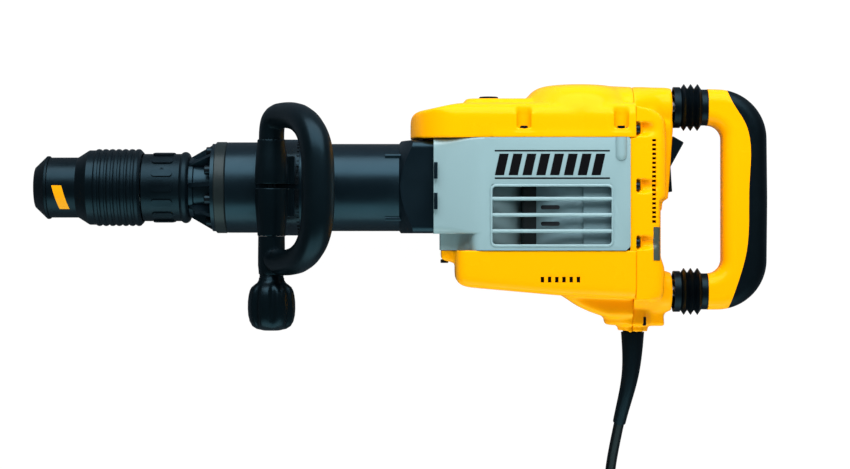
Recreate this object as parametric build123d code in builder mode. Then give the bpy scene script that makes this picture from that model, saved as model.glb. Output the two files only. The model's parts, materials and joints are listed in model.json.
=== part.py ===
"""Electric jackhammer for SDS-max shanks, lying on its side.

X runs along the hammer axis from the mouth of the tool holder (X = 0) back to the rear handle.
Y points to the gear side, where the speed dial sits, and Z points up from the surface it lies on.
All sizes are in millimetres.
"""
import os
from math import cos, pi, radians, sin, tan

from build123d import *

os.makedirs("parts", exist_ok=True)

# --- Fits ---------------------------------------------------------------------------------------
running = 0.05  # radial play of a turning or sliding fit
apart = 0.3  # room between pieces of different bodies
seat_play = 0.02  # play of a piece that stays put on its seat

# --- Tool holder --------------------------------------------------------------------------------
shank_r = 9.05  # wall of the bore for an 18 mm shank
shank_guide = 45.0  # length of that wall
drive_bore_r = 9.7  # bore round the drive ribs and the rollers
cap_hole_r = 16.8  # neck of the spindle inside the dust cap
cap_mouth_r = 17.6
cap_ring_r = 27.2
cap_bevel = 10.0
cap_length = 12.3
spindle_r = 20.0
chamber_r = 12.5  # bore behind the shank, where the impact bolt runs
chamber_start = 102.0
drive_rib = 2.2
drive_rib_start = 58.0
drive_rib_length = 28.0
sleeve_travel = 9.0
sleeve_nose_r = 26.0
sleeve_nose_length = 24.0
sleeve_flare = 9.0
sleeve_r = 32.2
sleeve_rib = 1.1
sleeve_ribs = 7
sleeve_rib_pitch = 5.7
sleeve_rear = 92.6
sleeve_chamfer = 1.6
roller_r = 3.5
roller_start = 46.5
roller_length = 8.5
spring_seat = 62.0
spring_wire = 2.4
spring_coil_r = 24.4
spring_turns = 5
collar_start = 93.0
collar_r = 29.1
collar_length = 32.8
bead_r = 30.2
bead_length = 7.4
pads = 14
pad_length = 18.0
pad_width = 6.0
pad_height = 1.2
pad_start = 102.0

# --- Nose cone and barrel -----------------------------------------------------------------------
barrel_r = 37.7
barrel_front_r = barrel_r + 1.4
flange_r = barrel_front_r + 0.3
cone_rear_r = flange_r - 1.6
cone_front_r = 25.6
cone_core_r = 24.6
cone_length = 22.5
cone_hub = 3.5
cone_plate = 3.0
cone_ribs = 8
cone_rib_width = 3.6
cone_turn = -3.5  # the first rib stands this many degrees from the Y axis
flange_length = 9.6
flange_bolt_circle = 32.4
flange_bolt_r = 2.5
bolt_head_r = 4.0
bolt_head_height = 5.0
bolt_depth = 16.0
barrel_front_length = 28.5
barrel_bore_r = barrel_r - 4.7
barrel_rod_r = 2.2
barrel_rod_length = 21.0

# --- Hammer mechanism ---------------------------------------------------------------------------
cylinder_bore_r = 24.0
cylinder_wall = 4.0
piston_length = 38.0
ram_length = 36.0
ram_nose_length = 9.0
ram_start = 192.0
impact_bolt_length = 60.0
impact_bolt_start = 112.0
impact_tip_r = 8.6
impact_tip_length = 16.0
pin_r = 6.0
crank_throw = 20.0
crank_pin_r = 8.0
rod_length = 80.0
rod_thickness = 13.0
crank_disc_r = 29.0
crank_disc_thickness = 8.0
journal_r = 10.0
bearing_r = 21.0
bearing_width = 10.0

# --- Gears --------------------------------------------------------------------------------------
module_fast = 1.5
module_slow = 2.0
pinion_teeth = 12
fast_teeth = 38
small_teeth = 10
crank_teeth = 30
gear_face = 9.0

# --- Gear case ----------------------------------------------------------------------------------
case_half_width = 52.0
square_half = barrel_r + 1.9  # half the square of the front collar
neck_half = square_half + 0.4
case_wall = 5.0
case_top = 41.3
case_bottom = -54.0
case_front = 343.3
case_rear = 509.0
case_corner = 3.5
neck_half_width = 46.0
neck_round = 8.0
flank_start = 360.0
flank_half_width = 26.0
neck_steps = 4
case_edge = 1.5  # rounding of the long edges of the case
neck_fade = 386.0  # here the neck has widened to the full case
crank_room_r = 32.0
window_left = 392.0
window_length = 101.0
window_top = 1.6
louvre_pitch = 13.6
louvre_bar = 3.0
louvres = 4

# --- Front collar -------------------------------------------------------------------------------
square_front = 314.0
square_bevel_angle = 38.0

# --- Motor --------------------------------------------------------------------------------------
motor_x = 462.0
stator_r = 39.4
shroud_r = 41.2
shroud_wall = 1.5
rotor_r = 23.8
air_gap = 0.5
core_length = 50.0
core_top = 12.0
shaft_r = 6.0
commutator_r = 15.0
commutator_length = 20.0
plate_thickness = 7.0
fan_r = 34.0

# --- Yellow covers ------------------------------------------------------------------------------
cover_wall = 3.5
cover_half_width = 51.0
cover_front = 323.5
cover_seam = 514.0
cover_shoulder = 71.2  # top of the lowest tier
dial_tier_top = 76.0
dial_tier_half = 28.0
dial_tier_start = 366.4
dial_tier_length = 75.0
dial_x = 391.0
dial_r = 8.5
dial_sink = 4.0
dial_proud = 0.8
dial_stem_r = 3.0
dial_stem_length = 6.0
dome_x = 468.0
dome_r = 50.6
dome_top = 89.0
dome_tail_r = 21.0
lip_start = 393.0
lip_length = 118.0
lip_height = 4.8
lip_proud = 0.7
cover_round = 12.0
cover_corner_r = 38.0
tower_r = 6.0
tower_x = (419.5, 501.5)
tower_floor = 49.0
tower_screw_z = 47.4
bottom_front = 362.0
bottom_round = 9.0
keel_half_width = 25.0
boss_bottom = -124.8
boss_x = 511.0
boss_r = 20.5
boss_step = -118.7
boss_mouth_r = 13.0
side_slots = 6
side_slot_x = 435.0
side_slot_pitch = 6.0
side_slot_y = -78.0
screw_length = 8.0

# --- Rear housing and switch --------------------------------------------------------------------
rear_face = 540.0
rear_half_width = 50.0
rear_screw_y = (48.4, 0.2, -47.5)
rear_screw_z = 46.9
screw_head_r = 3.6
screw_r = 2.0
arm_end = 550.5
arm_r = 17.7
arm_bore_r = 14.0
upper_arm_y = 69.2
lower_arm_y = -89.8
upper_arm_depth = 30.0
lower_arm_depth = 34.0
bezel_face = 549.6
bezel_low_face = 544.2
bezel_top = 50.7
bezel_bottom = -22.0
bezel_half_width = 17.0
rocker_half_width = 11.0
rocker_pivot = (541.0, 17.8)
vents = 14
vent_pitch = 5.2
vent_top = 36.0
vent_x = 529.0
rocker_floor = 533.0
rocker_top = 47.5
rocker_low = -8.0
rocker_pin_r = 1.9
rocker_pin_length = 28.0
channel_r = 5.9
channel_flat = 3.6
channel_length = 19.0
lug_half_width = 7.0
lug_end = 542.5

# --- Rear handle --------------------------------------------------------------------------------
bellows_length = 29.0
bellows_peak_r = 20.2
bellows_wall = 2.0
bellows_collar = 5.5
bellows_folds = 3
bellows_pitch = 5.9
bellows_valley_r = 16.0
handle_arm_r = 15.6
handle_half_depth = 17.5
handle_round = 12.0
handle_web = 12.7
handle_depth = 51.6
handle_corner_r = 43.0
handle_travel = 8.0
guide_pin_r = 6.0
guide_pin_grip = 9.0
handle_spring_wire = 2.0
handle_spring_r = 10.0
handle_spring_turns = 7

# --- Side handle --------------------------------------------------------------------------------
strap_x = 212.0
strap_width = 34.0
strap_thickness = 3.5
strap_teeth = 48
lock_teeth = 24
saddle_length = 24.0
bar_x = 207.0
bar_z = 54.0
jaw_r = 13.8
jaw_top = 39.3
jaw_bottom = -42.0
jaw_split = 3.5
loop_reach = 80.0
loop_tilt = 58.0
loop_arm = 21.4
loop_grip = 28.0
loop_half_depth = 12.5
loop_round = 10.0
loop_top = 69.2
loop_bottom = -74.5
bolt_top = 55.0
clamp_bolt_r = 4.0
neck_r = 10.2
neck_end = -86.0
knob_r = 20.0
knob_end = -121.5
knob_flutes = 8

# --- Mains cord ---------------------------------------------------------------------------------
guard_x = 515.5
guard_root = -108.0
guard_collar_r = 11.0
guard_r = 10.0
guard_tip_r = 5.6
guard_tip = (505.5, -204.0, -16.0)
guard_aim = (-0.14, -0.88, -0.46)
plug_r = 19.0
plug_length = 36.0
plug_neck_start = 22.0
plug_body_start = 54.0
plug_pin_r = 2.4
plug_pin_length = 19.0
plug_pin_spacing = 19.0
cord_r = 4.5
cord_length = 2400.0
coil_x = 434.0
coil_y = -328.0
coil_mid_r = 54.0
coil_columns = 3
coil_rows = 3

# Positions that follow from the sizes above
idler_x = motor_x - module_fast * (pinion_teeth + fast_teeth) / 2
crank_x = idler_x - module_slow * (small_teeth + crank_teeth) / 2

# ======================================= Tool holder =========================================

spindle_end = collar_start + collar_length + bead_length + cone_length
with BuildPart() as spindle:
    with BuildSketch(Plane.XY):
        with BuildLine():
            Polyline(
                (0, shank_r),
                (0, cap_hole_r),
                (cap_bevel, cap_hole_r),
                (cap_bevel, spindle_r),
                (spindle_end, spindle_r),
                (spindle_end, chamber_r),
                (chamber_start, chamber_r),
                (chamber_start, drive_bore_r),
                (shank_guide, drive_bore_r),
                (shank_guide, shank_r),
                close=True,
            )
        make_face()
    revolve(axis=Axis.X)
    # two openings that let the locking rollers reach the shank
    with BuildSketch(Plane.XY):
        with Locations((roller_start + roller_length / 2, 0)):
            Rectangle(roller_length + 2 * seat_play, 2 * (spindle_r + 1))
    extrude(amount=roller_r + seat_play, both=True, mode=Mode.SUBTRACT)
    # two drive ribs that engage the slots of the shank
    with BuildSketch(Plane.YZ.offset(drive_rib_start)):
        with Locations((0, shank_r - drive_rib / 4), (0, drive_rib / 4 - shank_r)):
            Rectangle(drive_rib, 1.5 * drive_rib)
    extrude(amount=drive_rib_length)
spindle.part.label = "spindle"
export_step(spindle.part, "parts/spindle.step")

with BuildPart() as locking_rollers:
    for side in (1, -1):
        with BuildSketch(Plane.YZ.offset(roller_start)):
            with Locations((side * (shank_r + roller_r - drive_rib), 0)):
                Circle(roller_r)
        extrude(amount=roller_length)
locking_rollers.part.label = "locking_rollers"
export_step(locking_rollers.part, "parts/locking_rollers.step")

with BuildPart() as dust_cap:
    with BuildSketch(Plane.XY):
        with BuildLine():
            Polyline(
                (0, cap_hole_r + seat_play),
                (0, cap_mouth_r),
                (cap_bevel, cap_ring_r),
                (cap_length, cap_ring_r),
                (cap_length, spindle_r + seat_play),
                (cap_bevel - seat_play, spindle_r + seat_play),
                (cap_bevel - seat_play, cap_hole_r + seat_play),
                close=True,
            )
        make_face()
    revolve(axis=Axis.X)
    fillet(dust_cap.edges().filter_by(GeomType.CIRCLE).sort_by(SortBy.RADIUS)[-2:], 0.8)
dust_cap.part.label = "dust_cap"
export_step(dust_cap.part, "parts/dust_cap.step")

sleeve_front = cap_length + apart
sleeve_ribs_start = sleeve_front + sleeve_nose_length + sleeve_flare
sleeve_bore_r = spindle_r + apart
with BuildPart() as lock_sleeve:
    with BuildSketch(Plane.XY):
        with BuildLine():
            nose_line = Polyline(
                (sleeve_front, sleeve_bore_r),
                (sleeve_front, sleeve_nose_r),
                (sleeve_front + sleeve_nose_length, sleeve_nose_r),
                (sleeve_ribs_start, sleeve_r - 0.5),
                (sleeve_ribs_start + 1, sleeve_r),
                (sleeve_rear - sleeve_chamfer, sleeve_r),
                (sleeve_rear, sleeve_r - sleeve_chamfer),
                (sleeve_rear, collar_r + apart),
                (collar_start - sleeve_travel - apart, collar_r + apart),
                (collar_start - sleeve_travel - apart, spring_coil_r + spring_wire + apart),
                (spring_seat, spring_coil_r + spring_wire + apart),
                (spring_seat, sleeve_bore_r),
                close=True,
            )
        make_face()
    revolve(axis=Axis.X)
    # the groove into which the rollers drop when the sleeve is pulled back
    with BuildSketch(Plane.XY):
        with BuildLine():
            Polyline(
                (roller_start - sleeve_travel - apart, 0),
                (roller_start - sleeve_travel - apart, sleeve_bore_r + drive_rib),
                (roller_start - apart, sleeve_bore_r + drive_rib),
                (roller_start + drive_rib, 0),
                close=True,
            )
        make_face()
    revolve(axis=Axis.X, mode=Mode.SUBTRACT)
    # finger ribs
    for k in range(sleeve_ribs):
        with BuildSketch(Plane.XY):
            with Locations((sleeve_ribs_start + 9 + k * sleeve_rib_pitch, sleeve_r)):
                Ellipse(sleeve_rib_pitch * 0.36, sleeve_rib)
        revolve(axis=Axis.X)
lock_sleeve.part.label = "lock_sleeve"
export_step(lock_sleeve.part, "parts/lock_sleeve.step")

with BuildPart() as sleeve_spring:
    coil_room = collar_start - spring_seat - spring_wire - 2 * apart
    with BuildLine() as coils:
        Helix(coil_room / spring_turns, coil_room, spring_coil_r,
              center=(spring_seat + spring_wire / 2 + apart, 0, 0), direction=(1, 0, 0))
    with BuildSketch(Plane(origin=coils.line @ 0, z_dir=coils.line % 0)):
        Circle(spring_wire / 2)
    sweep()
sleeve_spring.part.label = "sleeve_spring"
export_step(sleeve_spring.part, "parts/sleeve_spring.step")

bead_start = collar_start + collar_length
collar_end = bead_start + bead_length
with BuildPart() as index_collar:
    with BuildSketch(Plane.XY):
        with BuildLine():
            front_edge = Line((collar_start, spindle_r + seat_play), (collar_start, collar_r - 0.6))
            Line(front_edge @ 1, (collar_start + 0.6, collar_r))
            Line((collar_start + 0.6, collar_r), (bead_start, collar_r))
            ThreePointArc(
                (bead_start, collar_r),
                ((bead_start + collar_end) / 2, bead_r + 0.6),
                (collar_end, collar_r - 1),
            )
            Line((collar_end, collar_r - 1), (collar_end, spindle_r + seat_play))
            Line((collar_end, spindle_r + seat_play), front_edge @ 0)
        make_face()
    revolve(axis=Axis.X)
    # raised finger pads round the collar
    for k in range(pads):
        turn = 2 + k * 360 / pads
        with BuildSketch(Plane.XY.rotated((turn, 0, 0)).offset(collar_r - 1)):
            with Locations((pad_start + pad_length / 2, 0)):
                RectangleRounded(pad_length, pad_width, pad_width / 2 - 0.2)
        extrude(amount=1 + pad_height)
index_collar.part.label = "index_collar"
export_step(index_collar.part, "parts/index_collar.step")

# ======================================= Nose cone and barrel =================================

cone_start = collar_end + apart
flange_start = cone_start + cone_length
barrel_start = flange_start + flange_length
with BuildPart() as cone_rib:
    with BuildSketch(Plane.XY):
        with BuildLine():
            Polyline(
                (cone_start, cone_core_r - 2),
                (cone_start, cone_front_r),
                (flange_start - 1.5, cone_rear_r),
                (flange_start, cone_rear_r),
                (flange_start, cone_core_r - 2),
                close=True,
            )
        make_face()
    extrude(amount=cone_rib_width / 2, both=True)

bolt_angles = [cone_turn + (k + 0.5) * 360 / cone_ribs for k in range(cone_ribs)]
bolt_spots = [
    (flange_bolt_circle * cos(radians(a)), flange_bolt_circle * sin(radians(a)))
    for a in bolt_angles
]
with BuildPart() as nose_cone:
    with BuildSketch(Plane.XY):
        with BuildLine():
            Polyline(
                (cone_start, spindle_r + running),
                (cone_start, cone_front_r),
                (cone_start + cone_hub, cone_front_r),
                (cone_start + cone_hub + 1, cone_core_r),
                (flange_start - cone_plate - 1, cone_core_r),
                (flange_start - cone_plate, cone_core_r + 1),
                (flange_start - cone_plate, cone_rear_r),
                (flange_start, cone_rear_r),
                (flange_start, spindle_r + running),
                close=True,
            )
        make_face()
    revolve(axis=Axis.X)
    for k in range(cone_ribs):
        add(cone_rib.part.rotate(Axis.X, cone_turn + k * 360 / cone_ribs))
    with BuildSketch(Plane.YZ.offset(flange_start - cone_plate - 0.1)):
        with Locations(*bolt_spots):
            Circle(flange_bolt_r + seat_play)
    extrude(amount=cone_plate + 0.2, mode=Mode.SUBTRACT)
nose_cone.part.label = "nose_cone"
export_step(nose_cone.part, "parts/nose_cone.step")

with BuildPart() as flange_ring:
    with BuildSketch(Plane.YZ.offset(flange_start)):
        Circle(flange_r)
        Circle(cylinder_bore_r + cylinder_wall + seat_play, mode=Mode.SUBTRACT)
        with Locations(*bolt_spots):
            Circle(flange_bolt_r + seat_play, mode=Mode.SUBTRACT)
    extrude(amount=flange_length)
    chamfer(flange_ring.edges().filter_by(GeomType.CIRCLE).sort_by(SortBy.RADIUS)[-2:], 0.8)
flange_ring.part.label = "flange_ring"
export_step(flange_ring.part, "parts/flange_ring.step")

with BuildPart() as flange_bolts:
    with BuildSketch(Plane.YZ.offset(flange_start - cone_plate - bolt_head_height)):
        with Locations(*bolt_spots):
            Circle(bolt_head_r)
    extrude(amount=bolt_head_height)
    chamfer(flange_bolts.faces().sort_by(Axis.X)[:cone_ribs].edges(), 0.6)
    with BuildSketch(Plane.YZ.offset(flange_start - cone_plate)):
        with Locations(*bolt_spots):
            Circle(flange_bolt_r)
    extrude(amount=cone_plate + flange_length + bolt_depth)
    with BuildSketch(Plane.YZ.offset(flange_start - cone_plate - bolt_head_height)):
        with Locations(*bolt_spots):
            RegularPolygon(bolt_head_r * 0.55, 6)
    extrude(amount=bolt_head_height * 0.6, mode=Mode.SUBTRACT)
flange_bolts.part.label = "flange_bolts"
export_step(flange_bolts.part, "parts/flange_bolts.step")

barrel_step = barrel_start + barrel_front_length
rod_start = square_front - 12
with BuildPart() as barrel:
    with BuildSketch(Plane.XY):
        with BuildLine():
            Polyline(
                (barrel_start, cylinder_bore_r + cylinder_wall + seat_play),
                (barrel_start, barrel_front_r - 0.6),
                (barrel_start + 0.6, barrel_front_r),
                (barrel_step - 1.4, barrel_front_r),
                (barrel_step, barrel_r),
                (case_front, barrel_r),
                (case_front, barrel_bore_r),
                (barrel_step, barrel_bore_r),
                (barrel_step - 6, cylinder_bore_r + cylinder_wall + seat_play),
                close=True,
            )
        make_face()
    revolve(axis=Axis.X)
    # bolt holes behind the flange
    with BuildSketch(Plane.YZ.offset(barrel_start)):
        with Locations(*bolt_spots):
            Circle(flange_bolt_r + seat_play)
    extrude(amount=bolt_depth, mode=Mode.SUBTRACT)
    # four slim rods cast on the barrel run into the front collar
    for turn in (45, 135, 225, 315):
        with BuildSketch(Plane.YZ.offset(rod_start)):
            with Locations(
                (barrel_r * cos(radians(turn + 1)), barrel_r * sin(radians(turn + 1)))
            ):
                Circle(barrel_rod_r)
        extrude(amount=barrel_rod_length)
barrel.part.label = "barrel"
export_step(barrel.part, "parts/barrel.step")

# ======================================= Hammer mechanism =====================================

with BuildPart() as impact_bolt:
    body_end = impact_bolt_start + impact_bolt_length
    with BuildSketch(Plane.XY):
        with BuildLine():
            Polyline(
                (impact_bolt_start - impact_tip_length, 0),
                (impact_bolt_start - impact_tip_length, impact_tip_r - 1),
                (impact_bolt_start - impact_tip_length + 1, impact_tip_r),
                (impact_bolt_start - 2, impact_tip_r),
                (impact_bolt_start + 2, chamber_r - running),
                (body_end - 1.5, chamber_r - running),
                (body_end, chamber_r - running - 1.5),
                (body_end, 0),
                close=True,
            )
        make_face()
    revolve(axis=Axis.X)
impact_bolt.part.label = "impact_bolt"
export_step(impact_bolt.part, "parts/impact_bolt.step")

with BuildPart() as damper_ring:
    with BuildSketch(Plane.YZ.offset(flange_start)):
        Circle(cylinder_bore_r + cylinder_wall)
        Circle(chamber_r + 2 * running, mode=Mode.SUBTRACT)
    extrude(amount=flange_length)
    fillet(damper_ring.edges().filter_by(GeomType.CIRCLE).sort_by(SortBy.RADIUS)[:2], 1)
damper_ring.part.label = "damper_ring"
export_step(damper_ring.part, "parts/damper_ring.step")

cylinder_end = case_front + 2
with BuildPart() as cylinder:
    with BuildSketch(Plane.XY):
        with BuildLine():
            Polyline(
                (barrel_start, cylinder_bore_r),
                (barrel_start, cylinder_bore_r + cylinder_wall),
                (cylinder_end, cylinder_bore_r + cylinder_wall),
                (cylinder_end, cylinder_bore_r + 1),
                (cylinder_end - 2, cylinder_bore_r),
                close=True,
            )
        make_face()
    revolve(axis=Axis.X)
    # ring of vent holes between the ram and the piston
    with BuildSketch(Plane.XY):
        with Locations((ram_start + ram_length + 6, 0)):
            Circle(2)
    extrude(amount=cylinder_bore_r + cylinder_wall + 1, both=True, mode=Mode.SUBTRACT)
cylinder.part.label = "cylinder"
export_step(cylinder.part, "parts/cylinder.step")

groove_depth = 3.0
groove_width = 4.0
with BuildPart() as ram:
    with BuildSketch(Plane.XY):
        with BuildLine():
            Polyline(
                (ram_start, 0),
                (ram_start, impact_tip_r + 2),
                (ram_start + ram_nose_length, impact_tip_r + 4),
                (ram_start + ram_nose_length, cylinder_bore_r - running - 1),
                (ram_start + ram_nose_length + 1, cylinder_bore_r - running),
                (ram_start + ram_length - 8 - groove_width, cylinder_bore_r - running),
                (ram_start + ram_length - 8 - groove_width, cylinder_bore_r - groove_depth),
                (ram_start + ram_length - 8, cylinder_bore_r - groove_depth),
                (ram_start + ram_length - 8, cylinder_bore_r - running),
                (ram_start + ram_length, cylinder_bore_r - running),
                (ram_start + ram_length, 0),
                close=True,
            )
        make_face()
    revolve(axis=Axis.X)
ram.part.label = "ram"
export_step(ram.part, "parts/ram.step")

with BuildPart() as ram_ring:
    with BuildSketch(Plane.YZ.offset(ram_start + ram_length - 8 - groove_width)):
        Circle(cylinder_bore_r - running)
        Circle(cylinder_bore_r - groove_depth, mode=Mode.SUBTRACT)
    extrude(amount=groove_width)
ram_ring.part.label = "ram_ring"
export_step(ram_ring.part, "parts/ram_ring.step")

crank_pin_x = crank_x - crank_throw
wrist_x = crank_pin_x - rod_length
piston_start = wrist_x - 20
with BuildPart() as piston:
    with BuildSketch(Plane.XY):
        with BuildLine():
            Polyline(
                (piston_start, 0),
                (piston_start, cylinder_bore_r - running),
                (piston_start + 3, cylinder_bore_r - running),
                (piston_start + 3, cylinder_bore_r - groove_depth),
                (piston_start + 3 + groove_width, cylinder_bore_r - groove_depth),
                (piston_start + 3 + groove_width, cylinder_bore_r - running),
                (piston_start + piston_length, cylinder_bore_r - running),
                (piston_start + piston_length, cylinder_bore_r - 6),
                (piston_start + 9, cylinder_bore_r - 6),
                (piston_start + 9, 0),
                close=True,
            )
        make_face()
    revolve(axis=Axis.X)
    with BuildSketch(Plane.ZX):
        with Locations((0, wrist_x)):
            Circle(pin_r + seat_play)
    extrude(amount=cylinder_bore_r, both=True, mode=Mode.SUBTRACT)
piston.part.label = "piston"
export_step(piston.part, "parts/piston.step")

with BuildPart() as piston_ring:
    with BuildSketch(Plane.YZ.offset(piston_start + 3)):
        Circle(cylinder_bore_r - running)
        Circle(cylinder_bore_r - groove_depth, mode=Mode.SUBTRACT)
    extrude(amount=groove_width)
piston_ring.part.label = "piston_ring"
export_step(piston_ring.part, "parts/piston_ring.step")

with BuildPart() as wrist_pin:
    with BuildSketch(Plane.ZX):
        with Locations((0, wrist_x)):
            Circle(pin_r)
    extrude(amount=cylinder_bore_r - 2, both=True)
    chamfer(wrist_pin.edges().filter_by(GeomType.CIRCLE), 0.8)
wrist_pin.part.label = "wrist_pin"
export_step(wrist_pin.part, "parts/wrist_pin.step")

small_eye_r = pin_r + 3.5
big_eye_r = crank_pin_r + 5
with BuildPart() as connecting_rod:
    with BuildSketch(Plane.ZX):
        with Locations((0, wrist_x)):
            Circle(small_eye_r)
        with Locations((0, crank_pin_x)):
            Circle(big_eye_r)
        with Locations((0, (wrist_x + crank_pin_x) / 2)):
            Rectangle(2 * small_eye_r - 4, rod_length)
        with Locations((0, wrist_x)):
            Circle(pin_r + seat_play, mode=Mode.SUBTRACT)
        with Locations((0, crank_pin_x)):
            Circle(crank_pin_r + seat_play, mode=Mode.SUBTRACT)
    extrude(amount=rod_thickness / 2, both=True)
    # the shank is an I-section: a pocket in each flat side
    for side in (1, -1):
        with BuildSketch(Plane.ZX.offset(side * rod_thickness / 2)):
            with Locations((0, (wrist_x + crank_pin_x) / 2)):
                SlotOverall(rod_length - small_eye_r - big_eye_r - 8, small_eye_r, rotation=90)
        extrude(amount=-side * rod_thickness / 3, mode=Mode.SUBTRACT)
connecting_rod.part.label = "connecting_rod"
export_step(connecting_rod.part, "parts/connecting_rod.step")

disc_start = rod_thickness / 2 + 1
bearing_low = disc_start + crank_disc_thickness + 1
bearing_high = case_top - bearing_width
crank_gear_start = case_top + 3
with BuildPart() as crankshaft:
    with BuildSketch(Plane.ZX.offset(-rod_thickness / 2 - 1)):
        with Locations((0, crank_pin_x)):
            Circle(crank_pin_r)
    extrude(amount=rod_thickness + 2)
    with BuildSketch(Plane.ZX.offset(disc_start)):
        with Locations((0, crank_x)):
            Circle(crank_disc_r)
    extrude(amount=crank_disc_thickness)
    # lightening cut on the pin side balances the disc
    with BuildSketch(Plane.ZX.offset(disc_start + crank_disc_thickness)):
        for side in (1, -1):
            with Locations((side * crank_throw * 0.8, crank_x - crank_throw * 0.5)):
                Circle(4)
    extrude(amount=-crank_disc_thickness, mode=Mode.SUBTRACT)
    with BuildSketch(Plane.ZX.offset(disc_start + crank_disc_thickness)):
        with Locations((0, crank_x)):
            Circle(journal_r)
    extrude(amount=crank_gear_start + gear_face + 1 - disc_start - crank_disc_thickness)
crankshaft.part.label = "crankshaft"
export_step(crankshaft.part, "parts/crankshaft.step")


# ======================================= Gears ================================================


def gear_outline(module, teeth, first_angle):
    """Draws a spur gear with straight-flanked teeth; its first tooth points to first_angle."""
    root_r = module * (teeth - 2.5) / 2
    tip_r = module * (teeth + 2) / 2
    Circle(root_r)
    with PolarLocations(0, teeth, start_angle=first_angle):
        Polygon(
            (root_r - 0.3, -1.0 * module),
            (tip_r, -0.34 * module),
            (tip_r, 0.34 * module),
            (root_r - 0.3, 1.0 * module),
            align=None,
        )


fast_gear_start = crank_gear_start + gear_face + 1.5
with BuildPart() as crank_gear:
    with BuildSketch(Plane.ZX.offset(crank_gear_start)):
        with Locations((0, crank_x)):
            gear_outline(module_slow, crank_teeth, 90 + 180 / crank_teeth)
            Circle(journal_r + seat_play, mode=Mode.SUBTRACT)
    extrude(amount=gear_face)
crank_gear.part.label = "crank_gear"
export_step(crank_gear.part, "parts/crank_gear.step")

with BuildPart() as intermediate_gear:
    with BuildSketch(Plane.ZX.offset(crank_gear_start)):
        with Locations((0, idler_x)):
            gear_outline(module_slow, small_teeth, 270)
    extrude(amount=gear_face + 1.5)
    with BuildSketch(Plane.ZX.offset(fast_gear_start)):
        with Locations((0, idler_x)):
            gear_outline(module_fast, fast_teeth, 90)
    extrude(amount=gear_face)
    # its shaft turns in the gear plate
    with BuildSketch(Plane.ZX.offset(case_top - plate_thickness)):
        with Locations((0, idler_x)):
            Circle(shaft_r - 1)
    extrude(amount=fast_gear_start + gear_face + 2 - case_top + plate_thickness)
intermediate_gear.part.label = "intermediate_gear"
export_step(intermediate_gear.part, "parts/intermediate_gear.step")

# ======================================= Gear case ============================================

plate_play = 0.2
plate_bottom = case_top - plate_thickness
motor_room_right = motor_x + shroud_r + plate_play
room_half_width = case_half_width - case_wall
drum_r = crank_room_r + 4
window_heights = louvre_pitch - louvre_bar
tab_ranges = ((7.0, 21.3), (-19.6, -5.7))
tab_length = 1.8
tab_depth = 3.0

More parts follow.
